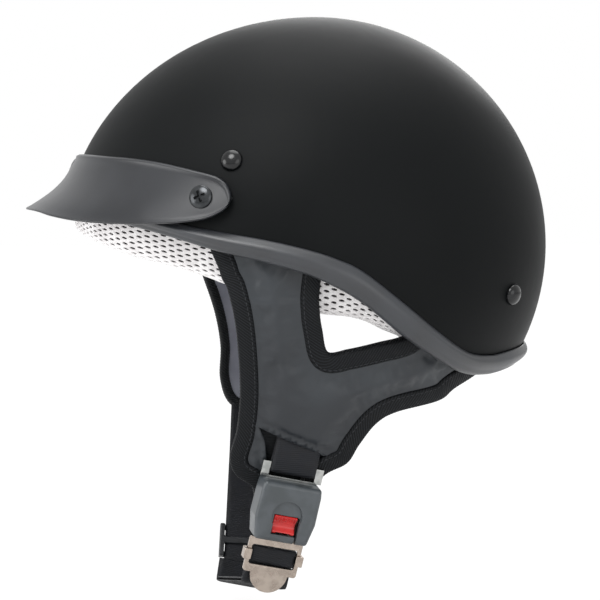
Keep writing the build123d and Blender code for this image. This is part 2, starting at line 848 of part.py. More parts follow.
# Left webbing: a stitched loop round the plate's bar, which comes out of a slit in the panel
loop_low = slot_top - layer_gap - webbing_thickness
loop_back = plate_base - layer_gap - webbing_thickness
loop_front = plate_top + layer_gap + webbing_thickness
with BuildPart() as left_buckle_strap:
    with BuildSketch(buckle_side):
        with Locations(((loop_low + loop_high) / 2, (loop_back + loop_front) / 2)):
            loop_face = Rectangle(loop_high - loop_low, loop_front - loop_back)
            fillet(loop_face.vertices(), webbing_thickness)
        with Locations(((loop_low + loop_high - loop_stitch) / 2, (loop_back + loop_front) / 2)):
            Rectangle(loop_high - loop_low - loop_stitch - 2 * webbing_thickness,
                      loop_front - loop_back - 2 * webbing_thickness, mode=Mode.SUBTRACT)
    extrude(amount=webbing_width / 2, both=True)
finish(left_buckle_strap, "left_buckle_strap")

# Pocket that the loop and the plate's head lie in, cut out of the left panel
with BuildPart() as loop_pocket:
    pocket = webbing_width / 2 + strap_clearance
    head_reach = plate_head_width / 2 + strap_clearance
    loop_room = (-pocket, pocket, half_length, loop_high + strap_clearance, buckle_depth)
    head_high = head_top + 2 * strap_clearance
    head_room = (-head_reach, head_reach, half_length - strap_clearance, head_high, buckle_depth)
    for room in (loop_room, head_room):
        add(block(level(loop_back - strap_clearance), *room))

# Ear and neck panels: face, foam and lining in a folded woven binding
layers = {
    "face": (0, panel_face),
    "foam": (panel_face + layer_gap, panel_face + panel_foam),
    "lining": (panel_face + panel_foam + layer_gap, panel_total),
}
sheets = {name: (funnel(top), funnel(bottom)) for name, (top, bottom) in layers.items()}
binding_skins = (funnel(-binding_wall), funnel(panel_total + binding_wall))
core_skins = (funnel(-layer_gap), funnel(panel_total + layer_gap))


def panel_core(outline):
    """What a panel's binding folds round: its layers and a gap on both faces."""
    with BuildPart() as core:
        add(core_skins[0])
        add(outline, mode=Mode.INTERSECT)
        add(core_skins[1], mode=Mode.SUBTRACT)
    return core.part


with BuildPart() as rim_zone:
    add(dome(-trim_proud - layer_gap))
    add(dome(shell_wall + trim_inner_wall + layer_gap), mode=Mode.SUBTRACT)
    add(above(rim_line(lift=-layer_gap)), mode=Mode.INTERSECT)
strap_space = {}
for word, side in sides.items():
    with BuildPart() as space:
        for line in (front_strap_line, rear_strap_line):
            add(strap_prism(line, side, channel_width))
        add(channel_outside, mode=Mode.INTERSECT)
        add(channel_inside, mode=Mode.SUBTRACT)
    strap_space[word] = space.part
for word, side in sides.items():
    tucked = panel_prism(outlines[word], side, binding_wall + layer_gap)
    for name, (top, bottom) in sheets.items():
        with BuildPart() as sheet:
            add(top)
            add(bottom, mode=Mode.SUBTRACT)
            add(tucked, mode=Mode.INTERSECT)
            if name != "lining":
                add(rim_zone.part, mode=Mode.SUBTRACT)
            if name == "foam":
                add(strap_space[word], mode=Mode.SUBTRACT)
            if word == "left" and name != "lining":
                add(loop_pocket.part, mode=Mode.SUBTRACT)
        finish(sheet, f"{word}_panel_{name}")
        print(word, name, round(sheet.part.volume), len(sheet.part.solids()))
    with BuildPart() as binding:
        add(binding_skins[0])
        add(panel_prism(outlines[word], side, 0), mode=Mode.INTERSECT)
        add(binding_skins[1], mode=Mode.SUBTRACT)
        add(panel_prism(outlines[word], side, binding_width), mode=Mode.SUBTRACT)
        add(panel_core(tucked), mode=Mode.SUBTRACT)
        add(rim_zone.part, mode=Mode.SUBTRACT)
        add(strap_space[word], mode=Mode.SUBTRACT)
        if word == "left":
            add(loop_pocket.part, mode=Mode.SUBTRACT)
    finish(binding, f"{word}_panel_binding")
    print(word, "binding", round(binding.part.volume), len(binding.part.solids()))

# Right webbing, from the right panel's lower end down to the slider
webbing_origin = [share * shell_half_width for share in webbing_place_share]
webbing_plane = leaning_plane(webbing_origin, 180, 0, -webbing_roll)
run_down = webbing_drop * tan(radians(webbing_lean))
half_web = webbing_thickness / 2
with BuildPart() as right_webbing:
    with BuildSketch(side_plane(webbing_plane)):
        with BuildLine():
            Polyline((0, half_web), (0, -half_web), (-webbing_drop, -half_web - run_down),
                     (-webbing_drop, half_web - run_down), close=True)
        make_face()
    extrude(amount=webbing_width / 2, both=True)
finish(right_webbing, "right_webbing")

# Tri-glide slider round the right webbing: end bars outside it, the middle bar behind it
lean = radians(webbing_lean)
run = webbing_plane.y_dir * cos(lean) + webbing_plane.z_dir * sin(lean)
outward = webbing_plane.z_dir * cos(lean) - webbing_plane.y_dir * sin(lean)
webbing_end = webbing_plane.from_local_coords(Vector(0, -webbing_drop, -run_down))
slider_plane = Plane(origin=webbing_end + run * slider_seat, x_dir=webbing_plane.x_dir, z_dir=outward)
rail_inside = webbing_width / 2 + strap_clearance
bar_clear = half_web + layer_gap
bar_reach = bar_clear + slider_bar
with BuildPart() as chin_slider:
    half_slider = slider_width / 2
    for hand in (-1, 1):
        rail = sorted((hand * rail_inside, hand * half_slider))
        add(block(slider_plane.offset(-bar_reach), *rail, 0, slider_height, 2 * bar_reach))
    for low in (0, slider_height - slider_rail):
        high = low + slider_rail
        add(block(slider_plane.offset(bar_clear), -half_slider, half_slider, low, high, slider_bar))
    low = (slider_height - slider_middle) / 2
    high = low + slider_middle
    add(block(slider_plane.offset(-bar_reach), -half_slider, half_slider, low, high, slider_bar))
finish(chin_slider, "chin_slider")

# Chin strap: doubled webbing from the slider, under the chin, to a loop round the lock bar
loop_half = lock_bar_height / 2 + layer_gap + webbing_thickness
loop_level = lock_base + lock_bar_thickness / 2
loop_reach = lock_bar_thickness / 2 + layer_gap + webbing_thickness
tail_low = slot_middle - loop_half - chin_tail
chin_origin = buckle.from_local_coords(Vector(0, tail_low, chin_level))
chin_plane = leaning_plane(chin_origin, chin_turn, 0, buckle_roll)
far_end = chin_plane.to_local_coords(webbing_end)
chin_route = [
    (chin_tail / 2, 0),
    (-chin_drop, 0),
    (far_end.Y - chin_slack, far_end.Z + chin_slack * tan(lean)),
    (far_end.Y - chin_end_gap, far_end.Z + chin_end_gap * tan(lean)),
]
with BuildPart() as chin_strap:
    with BuildSketch(side_plane(chin_plane)):
        with BuildLine():
            path = FilletPolyline(*chin_route, radius=[chin_near_bend, chin_far_bend])
            offset(path.wires()[0], amount=band_thickness / 2, side=Side.BOTH, mode=Mode.REPLACE)
        make_face()
    extrude(amount=webbing_width / 2, both=True)
    with BuildSketch(buckle_side):
        with Locations(((tail_low + slot_middle) / 2, chin_level)):
            Rectangle(slot_middle - tail_low, band_thickness)
        with Locations((slot_middle, loop_level)):
            Rectangle(2 * loop_half, 2 * loop_reach)
            Rectangle(2 * loop_half - 2 * webbing_thickness, 2 * loop_reach - 2 * webbing_thickness,
                      mode=Mode.SUBTRACT)
    extrude(amount=webbing_width / 2, both=True)
finish(chin_strap, "chin_strap")
print("chin", round(chin_strap.part.volume), len(chin_strap.part.solids()), "far end", far_end)

# Axes that the moving pieces follow
print("buckle origin", buckle.origin, "across", buckle.x_dir, "up", buckle.y_dir, "out", buckle.z_dir)
print("slider run", run, "webbing end", webbing_end)
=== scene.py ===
import math
import bpy
import bmesh
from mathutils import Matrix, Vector, noise
from mathutils.geometry import delaunay_2d_cdt


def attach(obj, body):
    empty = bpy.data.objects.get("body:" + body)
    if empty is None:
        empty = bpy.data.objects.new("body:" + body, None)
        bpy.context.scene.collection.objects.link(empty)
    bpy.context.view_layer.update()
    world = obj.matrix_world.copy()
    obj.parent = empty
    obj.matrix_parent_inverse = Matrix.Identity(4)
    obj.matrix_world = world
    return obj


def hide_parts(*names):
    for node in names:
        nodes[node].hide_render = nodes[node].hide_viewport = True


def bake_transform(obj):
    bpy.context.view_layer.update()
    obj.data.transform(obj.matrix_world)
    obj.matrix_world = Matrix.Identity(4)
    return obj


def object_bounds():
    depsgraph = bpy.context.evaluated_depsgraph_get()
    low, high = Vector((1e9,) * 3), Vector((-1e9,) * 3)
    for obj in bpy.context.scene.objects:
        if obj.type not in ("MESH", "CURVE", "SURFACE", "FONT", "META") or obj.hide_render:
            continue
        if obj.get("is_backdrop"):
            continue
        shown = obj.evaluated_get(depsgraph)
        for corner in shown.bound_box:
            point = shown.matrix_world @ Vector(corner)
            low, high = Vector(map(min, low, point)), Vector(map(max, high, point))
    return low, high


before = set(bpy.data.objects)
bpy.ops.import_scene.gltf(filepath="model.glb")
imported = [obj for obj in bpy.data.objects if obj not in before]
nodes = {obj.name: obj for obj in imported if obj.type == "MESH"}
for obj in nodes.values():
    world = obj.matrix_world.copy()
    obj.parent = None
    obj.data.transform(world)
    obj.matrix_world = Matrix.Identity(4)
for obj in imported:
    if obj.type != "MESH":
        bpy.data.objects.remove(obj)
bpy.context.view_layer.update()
mm = 0.001
left, right = -1, 1
bothSides = ((left, "left"), (right, "right"))
print("frame loaded:", len(nodes), "nodes")

# Matt black half shell on white, seen from the wearer's left, a touch from the front and above.
cameraSettings = {
    "azimuth": -4.0,  # degrees, towards the front
    "elevation": 3.0,
    "distance": 1.2,
    "aim": Vector((-8.7, 0, -31.8)) * mm,
    "lens": 124.3,
    "sensor": 36.0,
    "clipEnd": 50,
}


def placeCamera(settings):
    data = bpy.data.cameras.new("photoCamera")
    data.lens, data.sensor_width = settings["lens"], settings["sensor"]
    data.clip_end = settings["clipEnd"]
    camera = bpy.data.objects.new("photoCamera", data)
    bpy.context.scene.collection.objects.link(camera)
    a, e = math.radians(settings["azimuth"]), math.radians(settings["elevation"])
    back = Vector((math.sin(a) * math.cos(e), -math.cos(a) * math.cos(e), math.sin(e)))
    camera.location = settings["aim"] + back * settings["distance"]
    camera.rotation_euler = back.to_track_quat("Z", "Y").to_euler()
    bpy.context.scene.camera = camera


placeCamera(cameraSettings)

# small tools


def hexColour(code):
    def channel(k):
        c = int(code[k:k + 2], 16) / 255
        return c / 12.92 if c <= 0.04045 else ((c + 0.055) / 1.055) ** 2.4
    return (channel(1), channel(3), channel(5), 1)


def node(tree, kind, settings=(), inputs=()):
    made = tree.nodes.new(kind)
    for name, value in dict(settings).items():
        setattr(made, name, value)
    for socket, value in dict(inputs).items():
        if isinstance(value, bpy.types.NodeSocket):
            tree.links.new(value, made.inputs[socket])
        else:
            made.inputs[socket].default_value = value
    return made


def linked(name, data):
    made = bpy.data.objects.new(name, data)
    bpy.context.scene.collection.objects.link(made)
    return made


def newPiece(name, mesh, *materials, smooth=True):
    for material in materials:
        mesh.materials.append(material)
    for face in mesh.polygons:
        face.use_smooth = smooth
    return linked(name, mesh)


def meshFrom(name, points, faces, uvs=None):
    mesh = bpy.data.meshes.new(name)
    mesh.from_pydata([tuple(p) for p in points], [], faces)
    if uvs is not None:
        layer = mesh.uv_layers.new(name="UVMap")
        for loop in mesh.loops:
            layer.data[loop.index].uv = uvs[loop.vertex_index]
    mesh.validate()
    mesh.update()
    return mesh


def outward(mesh, merge=0.0):
    work = bmesh.new()
    work.from_mesh(mesh)
    if merge:
        bmesh.ops.remove_doubles(work, verts=work.verts, dist=merge)
        bmesh.ops.dissolve_degenerate(work, edges=work.edges, dist=0.1 * merge)
    bmesh.ops.delete(work, geom=[v for v in work.verts if not v.link_faces], context="VERTS")
    bmesh.ops.recalc_face_normals(work, faces=work.faces)
    work.to_mesh(mesh)
    work.free()
    return mesh


def rings(name, sections, closedPath=False, uvRows=None):
    points = [p for section in sections for p in section]
    count, size = len(sections), len(sections[0])
    faces = []
    for row in range(count if closedPath else count - 1):
        after = (row + 1) % count
        for k in range(size):
            nextK = (k + 1) % size
            faces.append((row * size + k, row * size + nextK, after * size + nextK, after * size + k))
    if not closedPath:
        faces.append(tuple(range(size))[::-1])
        faces.append(tuple((count - 1) * size + k for k in range(size)))
    uvs = [uv for row in uvRows for uv in row] if uvRows else None
    return outward(meshFrom(name, points, faces, uvs))


def bakeModifiers(piece):
    graph = bpy.context.evaluated_depsgraph_get()
    mesh = bpy.data.meshes.new_from_object(piece.evaluated_get(graph))
    piece.modifiers.clear()
    piece.data = mesh
    return piece


def runTree(piece, tree, **values):
    modifier = piece.modifiers.new("tree", "NODES")
    modifier.node_group = tree
    for socket in tree.interface.items_tree:
        if socket.in_out == "INPUT" and socket.name in values:
            modifier[socket.identifier] = values[socket.name]
    return bakeModifiers(piece)


def newTree(name, **inputs):
    tree = bpy.data.node_groups.new(name, "GeometryNodeTree")
    tree.interface.new_socket("Geometry", in_out="INPUT", socket_type="NodeSocketGeometry")
    for word, kind in inputs.items():
        tree.interface.new_socket(word, in_out="INPUT", socket_type="NodeSocket" + kind)
    tree.interface.new_socket("Geometry", in_out="OUTPUT", socket_type="NodeSocketGeometry")
    return tree, tree.nodes.new("NodeGroupInput").outputs


def endTree(tree, geometry, material):
    smooth = node(tree, "GeometryNodeSetShadeSmooth", {}, {"Geometry": geometry})
    real = node(tree, "GeometryNodeRealizeInstances", {}, {"Geometry": smooth.outputs[0]})
    painted = node(tree, "GeometryNodeSetMaterial", {}, {"Geometry": real.outputs[0], "Material": material})
    node(tree, "NodeGroupOutput", {}, {0: painted.outputs[0]})


def joined(first, second):
    work = bmesh.new()
    work.from_mesh(first.data)
    offset, count = len(first.data.materials), len(work.faces)
    work.from_mesh(second.data)
    work.faces.ensure_lookup_table()
    for face in work.faces[count:]:
        face.material_index += offset
    for material in second.data.materials:
        first.data.materials.append(material)
    work.to_mesh(first.data)
    work.free()
    bpy.data.objects.remove(second)
    return first


def standIn(piece, body, slot, *replaced):
    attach(piece, body)
    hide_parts(*replaced)


def catmull(points, steps, closed=False):
    count = len(points)
    curve = []
    for i in range(count if closed else count - 1):
        p0 = points[(i - 1) % count] if closed or i > 0 else points[0]
        p1, p2 = points[i], points[(i + 1) % count]
        p3 = points[(i + 2) % count] if closed or i + 2 < count else points[-1]
        for k in range(steps):
            t = k / steps
            curve.append(0.5 * (2 * p1 + (p2 - p0) * t + (2 * p0 - 5 * p1 + 4 * p2 - p3) * t * t
                                + (3 * p1 - p0 - 3 * p2 + p3) * t ** 3))
    if not closed:
        curve.append(points[-1])
    return curve


def runningLengths(path):
    lengths = [0.0]
    for a, b in zip(path, path[1:]):
        lengths.append(lengths[-1] + (b - a).length)
    return lengths


def evenly(points, step, closed=False):
    path = list(points) + ([points[0]] if closed else [])
    lengths = runningLengths(path)
    count = max(3, round(lengths[-1] / step))
    spots, k = [], 0
    for i in range(count if closed else count + 1):
        at = lengths[-1] * i / count
        while k < len(path) - 2 and lengths[k + 1] < at:
            k += 1
        span = lengths[k + 1] - lengths[k]
        spots.append(path[k].lerp(path[k + 1], (at - lengths[k]) / span if span else 0))
    return spots


def roundedPath(points, radii, steps=8):
    path = [points[0]]
    most = 0.49  # share of a run that the round at one of its ends may take
    for before, corner, after, radius in zip(points, points[1:], points[2:], radii):
        a, b = (before - corner).normalized(), (after - corner).normalized()
        reach = min(radius / math.tan(0.5 * a.angle(b)), most * (before - corner).length,
                    most * (after - corner).length)
        start, end = corner + a * reach, corner + b * reach
        for k in range(steps + 1):
            t = k / steps
            path.append(start * (1 - t) ** 2 + corner * 2 * t * (1 - t) + end * t * t)
    return path + [points[-1]]


def along(pairs, x):
    for (x0, z0), (x1, z1) in zip(pairs, pairs[1:]):
        if x <= x1:
            return z0 + (z1 - z0) * max(0.0, (x - x0) / (x1 - x0))
    return pairs[-1][1]


def smoothStep(value):
    t = max(0.0, min(1.0, value))
    return t * t * (3 - 2 * t)


# forms of the helmet that the soft pieces follow
dome = {"front": 144.8 * mm, "rear": 133.2 * mm, "height": 130.9 * mm, "halfWidth": 115.0 * mm}
funnel = [  # height, centre, half length, half width: the panels hang on these ellipses
    (72.0 * mm, -10.9 * mm, 142.6 * mm, 113.3 * mm),
    (-28.1 * mm, -12.3 * mm, 134.7 * mm, 101.0 * mm),
    (-162.3 * mm, -26.1 * mm, 96.6 * mm, 48.3 * mm),
]
rimShares = [  # rim in side view: place along the dome, height, and how tall the trim is there
    (-1.100, 0.178, 0.95), (-0.750, 0.099, 0.95), (-0.570, 0.047, 0.85), (-0.415, -0.004, 1.02),
    (-0.240, -0.049, 1.16), (-0.090, -0.097, 1.28), (0.020, -0.150, 1.46), (0.130, -0.216, 1.60),
    (0.300, -0.352, 1.62), (0.450, -0.452, 1.34), (0.575, -0.522, 1.16), (0.680, -0.541, 1.12),
    (0.770, -0.535, 1.12), (0.920, -0.510, 1.12), (1.100, -0.450, 1.12),
]
rollShares = [  # lower edge of the liner's roll in side view
    (-1.100, 0.130), (-0.974, 0.105), (-0.900, 0.048), (-0.820, 0.008), (-0.720, -0.032),
    (-0.610, -0.063), (-0.465, -0.108),
    (-0.380, -0.144), (-0.200, -0.215), (-0.030, -0.266), (0.077, -0.278), (0.160, -0.300),
    (0.227, -0.335), (0.300, -0.365), (0.450, -0.435), (0.600, -0.490), (0.800, -0.500), (1.100, -0.430),
]
trimHeight = 10.5 * mm


def endReach(x):
    return dome["front"] if x < 0 else dome["rear"]


def reachOf(share):
    return share * endReach(share)


def curvedLine(pairs):
    return [(p.x, p.y) for p in catmull([Vector(pair) for pair in pairs], 6)]


rimLow = curvedLine([(reachOf(x), z * dome["height"]) for x, z, _ in rimShares])
rimTop = curvedLine([(reachOf(x), z * dome["height"] + tall * trimHeight) for x, z, tall in rimShares])
rollLow = curvedLine([(reachOf(x), z * dome["height"]) for x, z in rollShares])


def domePoint(angle, z, inset):
    level = math.sqrt(max(0.0, 1 - (z / (dome["height"] - inset)) ** 2))  # share of its width at this height
    x = (endReach(math.cos(angle)) - inset) * math.cos(angle) * level
    return Vector((x, (dome["halfWidth"] - inset) * math.sin(angle) * level, z))


def heightAt(line, angle, inset):
    z = 0.0
    for _ in range(10):
        z = along(line, domePoint(angle, z, inset).x)
    return z


def evenAngles(count, inset, size=2000):
    fine = [2 * math.pi * k / size for k in range(size + 1)]
    lengths = runningLengths([domePoint(angle, 0, inset) for angle in fine])
    angles, k = [], 0
    for i in range(count):
        while lengths[k + 1] < lengths[-1] * i / count:
            k += 1
        angles.append(fine[k])
    return angles, lengths[-1]


def funnelPoint(x, z, side, depth=0.0):
    (z1, c1, a1, b1), (z0, c0, a0, b0) = funnel[:2] if z > funnel[1][0] else funnel[1:]
    t = (z - z1) / (z0 - z1)
    centre, a, b = c1 + (c0 - c1) * t, a1 + (a0 - a1) * t - depth, b1 + (b0 - b1) * t - depth
    return Vector((x, side * b * math.sqrt(max(0.0, 1 - ((x - centre) / a) ** 2)), z))


def funnelNormal(x, z, side):
    step = 0.5 * mm
    p = funnelPoint(x, z, side)
    across = funnelPoint(x + step, z, side) - p
    up = funnelPoint(x, z + step, side) - p
    n = across.cross(up)
    return (n if n.y * side > 0 else -n).normalized()


# Finishes: patches of a dark and a light tone whose roughness follows them, over a fine grain. Each has
# its two tones, the size of its patches, its roughness from dark to light, and its grain's size and depth.
patchDark, patchLight = 0.35, 0.65  # where in the noise the tones are reached


def nodesOf(material):
    return material.node_tree, material.node_tree.nodes["Principled BSDF"]


def under(material, socket):
    return nodesOf(material)[1].inputs[socket].links[0].from_socket


def lay(material, relief, tone=None):
    tree, shader = nodesOf(material)
    tree.links.new(relief.outputs[0], shader.inputs["Normal"])
    if tone is not None:
        tree.links.new(tone.outputs[2], shader.inputs["Base Color"])


def finish(name, dark, light, patch, gloss, grain, depth, **constants):
    material = bpy.data.materials.new(name)
    material.use_nodes = True
    tree, shader = nodesOf(material)
    for socket, value in constants.items():
        shader.inputs[socket.replace("_", " ")].default_value = value
    where = node(tree, "ShaderNodeTexCoord").outputs["Object"]
    cloud = node(tree, "ShaderNodeTexNoise", {}, {"Vector": where, "Scale": 1 / patch, "Detail": 3.0})
    share = node(tree, "ShaderNodeMapRange", {"interpolation_type": "SMOOTHSTEP"},
                 {0: cloud.outputs["Fac"], 1: patchDark, 2: patchLight})
    tone = node(tree, "ShaderNodeMix", {"data_type": "RGBA"},
                {0: share.outputs[0], 6: hexColour(dark), 7: hexColour(light)})
    dull = node(tree, "ShaderNodeMapRange", {},
                {0: cloud.outputs["Fac"], 1: patchDark, 2: patchLight, 3: gloss[0], 4: gloss[1]})
    fine = node(tree, "ShaderNodeTexNoise", {}, {"Vector": where, "Scale": 1 / grain, "Detail": 2.0})
    relief = node(tree, "ShaderNodeBump", {},
                  {"Height": fine.outputs["Fac"], "Distance": depth, "Strength": 0.5})
    tree.links.new(dull.outputs[0], shader.inputs["Roughness"])
    lay(material, relief, tone)
    return material


# Ribs as a bump, with a painted highlight: their crests are painted a lighter colour that stands for light
# catching them.
def ribsWithPaintedHighlight(material, pitch, slant, light, depth, share):
    tree, _ = nodesOf(material)
    uv = node(tree, "ShaderNodeUVMap").outputs[0]
    place = node(tree, "ShaderNodeSeparateXYZ", {}, {0: uv})
    shift = node(tree, "ShaderNodeMath", {"operation": "MULTIPLY"}, {0: place.outputs[1], 1: slant})
    total = node(tree, "ShaderNodeMath", {"operation": "ADD"}, {0: place.outputs[0], 1: shift.outputs[0]})
    turn = node(tree, "ShaderNodeMath", {"operation": "MULTIPLY"},
                {0: total.outputs[0], 1: 2 * math.pi / pitch})
    wave = node(tree, "ShaderNodeMath", {"operation": "COSINE"}, {0: turn.outputs[0]})
    # how much painted highlight each crest gets
    paintedCrestHighlight = node(tree, "ShaderNodeMapRange", {"interpolation_type": "SMOOTHSTEP"},
                 {0: wave.outputs[0], 1: -0.1, 2: 0.9, 3: 0.0, 4: share})
    tone = node(tree, "ShaderNodeMix", {"data_type": "RGBA"},
                {0: paintedCrestHighlight.outputs[0], 6: under(material, "Base Color"), 7: hexColour(light)})
    relief = node(tree, "ShaderNodeBump", {},
                  {"Height": wave.outputs[0], "Distance": depth, "Strength": 0.6,
                   "Normal": under(material, "Normal")})
    lay(material, relief, tone)


# Flat black lacquer on ABS: nearly black, with a wide soft highlight and the pebble of sprayed paint.
shellPaint = finish("flatBlackLacquer", "#07090a", "#0a0c0d", 70 * mm, (0.50, 0.56), 0.9 * mm, 0.03 * mm,
                    Specular_IOR_Level=0.10)
# Moulded EPDM rubber: dark grey and half dull.
trimRubber = finish("greyEdgeRubber", "#202226", "#26292e", 30 * mm, (0.40, 0.48), 0.8 * mm, 0.04 * mm,
                    Specular_IOR_Level=0.7)
# Injection-moulded peak in grey ABS, satin, with a fine spark-eroded grain.
peakPlastic = finish("greyPeakPlastic", "#191b1f", "#202226", 28 * mm, (0.30, 0.36), 0.7 * mm, 0.04 * mm,
                     Specular_IOR_Level=0.5)
# Black-oxided steel of the peak's screws: glossy, worn a little bright.
blackSteel = finish("blackOxideSteel", "#2e3032", "#3a3c3e", 5 * mm, (0.16, 0.22), 0.6 * mm, 0.01 * mm,
                    Metallic=0.7, Specular_IOR_Level=0.5)
# Black enamel on the rivets' domes: smooth and glossy.
rivetEnamel = finish("blackRivetEnamel", "#060708", "#0c0d0f", 5 * mm, (0.14, 0.20), 0.6 * mm, 0.01 * mm,
                     Specular_IOR_Level=0.4)
# Zinc-plated steel for what is hidden: inserts, washers, the latch and its spring.
zincSteel = finish("zincPlatedSteel", "#8f9192", "#b4b6b8", 3.3 * mm, (0.3, 0.45), 0.5 * mm, 0.02 * mm,
                   Metallic=1.0)
# Polished chrome of the buckle's frame: a grey mirror with faint scuffs.
chromeSteel = finish("chromedSteel", "#8d8f8d", "#a9aaa8", 4.2 * mm, (0.08, 0.14), 0.6 * mm, 0.02 * mm,
                     Metallic=1.0)
# Barrel-polished nickel plate on the tongue: warm, scuffed, with a grainy tab.
nickelSteel = finish("nickelPlatedSteel", "#a0948a", "#b2a69b", 5 * mm, (0.24, 0.36), 0.9 * mm, 0.08 * mm,
                     Metallic=1.0)
# Satin acetal of the buckle's cover, moulded in blue grey.
coverPlastic = finish("greyAcetal", "#3c4144", "#474c50", 11 * mm, (0.34, 0.42), 0.7 * mm, 0.03 * mm,
                      Specular_IOR_Level=0.5)
# Glossy red acetal of the release button.
redPlastic = finish("redAcetal", "#a81513", "#bc1d1a", 7 * mm, (0.24, 0.32), 0.8 * mm, 0.02 * mm)
# Black nylon of the slider and the ejector, as moulded.
blackPlastic = finish("blackNylonMoulding", "#101214", "#1a1c1f", 5 * mm, (0.26, 0.36), 0.7 * mm, 0.03 * mm,
                      Specular_IOR_Level=0.5)
# Expanded polystyrene dyed black: dull, with beads of about 3 mm.
beadFoam = finish("blackBeadFoam", "#0e0f10", "#17191a", 30 * mm, (0.75, 0.85), 1.0 * mm, 0.1 * mm)
tree, _ = nodesOf(beadFoam)
beads = node(tree, "ShaderNodeTexVoronoi", {"feature": "DISTANCE_TO_EDGE"},
             {"Vector": node(tree, "ShaderNodeTexCoord").outputs["Object"], "Scale": 1 / (3 * mm)})
seam = node(tree, "ShaderNodeMapRange", {}, {0: beads.outputs["Distance"], 1: 0.0, 2: 0.14})
lay(beadFoam, node(tree, "ShaderNodeBump", {}, {"Height": seam.outputs[0], "Distance": 0.3 * mm}))
# Black nylon webbing: fine cross ribs whose crests carry a painted highlight, and a faint shader sheen.
webbing = finish("blackNylonWebbing", "#0b0c10", "#101217", 6 * mm, (0.5, 0.62), 0.7 * mm, 0.08 * mm,
                 Specular_IOR_Level=0.25, Sheen_Weight=0.04, Sheen_Roughness=0.4)
ribsWithPaintedHighlight(webbing, 1.1 * mm, 0.12, "#191c22", 0.06 * mm, 0.5)
# Bias tape on the panels' edges: black twill, its slanting ribs as coarse as the real ones, with a painted
# highlight on their crests.
bindingTape = finish("blackTwillTape", "#050607", "#090a0c", 5 * mm, (0.55, 0.66), 0.7 * mm, 0.08 * mm,
                     Specular_IOR_Level=0.16, Sheen_Weight=0.02, Sheen_Roughness=0.4)
ribsWithPaintedHighlight(bindingTape, 1.75 * mm, -0.95, "#202327", 0.15 * mm, 0.7)
# Bonded polyester thread, black, a shade shinier than the tape.
threadFinish = finish("blackBondedThread", "#101215", "#202328", 1.5 * mm, (0.4, 0.5), 0.4 * mm, 0.04 * mm,
                      Specular_IOR_Level=0.4)
# Soft PU leatherette on foam: pebbled grain, lazy creases, and lighter patches at random places that are a
# painted sheen.
leatherette = finish("greyLeatherette", "#25282c", "#2d3135", 38 * mm, (0.34, 0.44), 1.1 * mm, 0.06 * mm,
                     Specular_IOR_Level=0.38)
tree, _ = nodesOf(leatherette)
where = node(tree, "ShaderNodeTexCoord").outputs["Object"]
stretched = node(tree, "ShaderNodeMapping", {}, {"Vector": where, "Scale": (1, 1, 0.45)})
crease = node(tree, "ShaderNodeTexNoise", {},
              {"Vector": stretched.outputs[0], "Scale": 1 / (10 * mm), "Detail": 4.0})
lay(leatherette, node(tree, "ShaderNodeBump", {},
                      {"Height": crease.outputs["Fac"], "Distance": 0.5 * mm, "Strength": 0.35,
                       "Normal": under(leatherette, "Normal")}))
# Brushed knit on the panels' inner face: grey, dull, with a nap.
innerKnit = finish("greyBrushedKnit", "#6e707a", "#787a83", 14 * mm, (0.85, 0.95), 0.8 * mm, 0.2 * mm,
                   Sheen_Weight=0.4, Sheen_Roughness=0.5, Specular_IOR_Level=0.2)
# White polyester spacer mesh: its holes are in the net's own mesh, over a dark core.
whiteNet = finish("whiteSpacerMesh", "#e6e3e3", "#f6f4f4", 9 * mm, (0.6, 0.75), 0.7 * mm, 0.1 * mm,
                  Specular_IOR_Level=0.3, Sheen_Weight=0.1)
netCore = finish("darkNetCore", "#1d1b1c", "#353233", 2.5 * mm, (0.85, 0.95), 0.8 * mm, 0.2 * mm,
                 Specular_IOR_Level=0.2)
# The same mesh lines the dome, with its holes drawn on the liner's own coordinates.
domeNet = finish("whiteLinerMesh", "#dbd7d7", "#efecec", 9 * mm, (0.6, 0.75), 0.7 * mm, 0.1 * mm,
                 Specular_IOR_Level=0.3, Sheen_Weight=0.1)
netHoles = {"pitch": (8.0 * mm, 3.1 * mm), "size": 0.225, "rim": (0.75, 1.15), "depth": 0.5 * mm}


def holeField(tree, place, pitch, shift, size):
    squares = []
    for axis in (0, 1):
        cell = node(tree, "ShaderNodeMath", {"operation": "DIVIDE"}, {0: place.outputs[axis], 1: pitch[axis]})
        moved = node(tree, "ShaderNodeMath", {"operation": "ADD"}, {0: cell.outputs[0], 1: shift})
        part = node(tree, "ShaderNodeMath", {"operation": "FRACT"}, {0: moved.outputs[0]})
        middle = node(tree, "ShaderNodeMath", {"operation": "SUBTRACT"}, {0: part.outputs[0], 1: 0.5})
        scaled = node(tree, "ShaderNodeMath", {"operation": "DIVIDE"}, {0: middle.outputs[0], 1: size})
        power = node(tree, "ShaderNodeMath", {"operation": "POWER"}, {0: scaled.outputs[0], 1: 2.0})
        squares.append(power.outputs[0])
    return node(tree, "ShaderNodeMath", {"operation": "ADD"}, {0: squares[0], 1: squares[1]}).outputs[0]


def drawHoles(material, settings):
    tree, _ = nodesOf(material)
    place = node(tree, "ShaderNodeSeparateXYZ", {}, {0: node(tree, "ShaderNodeUVMap").outputs[0]})
    straight, between = (holeField(tree, place, settings["pitch"], shift, settings["size"])
                         for shift in (0.0, 0.5))
    nearest = node(tree, "ShaderNodeMath", {"operation": "MINIMUM"}, {0: straight, 1: between})
    solid = node(tree, "ShaderNodeMapRange", {},
                 {0: nearest.outputs[0], 1: settings["rim"][0], 2: settings["rim"][1]})
    tone = node(tree, "ShaderNodeMix", {"data_type": "RGBA"},
                {0: solid.outputs[0], 6: hexColour("#262324"), 7: under(material, "Base Color")})
    relief = node(tree, "ShaderNodeBump", {}, {"Height": solid.outputs[0], "Distance": settings["depth"]})
    lay(material, relief, tone)


drawHoles(domeNet, netHoles)
print("finishes made")

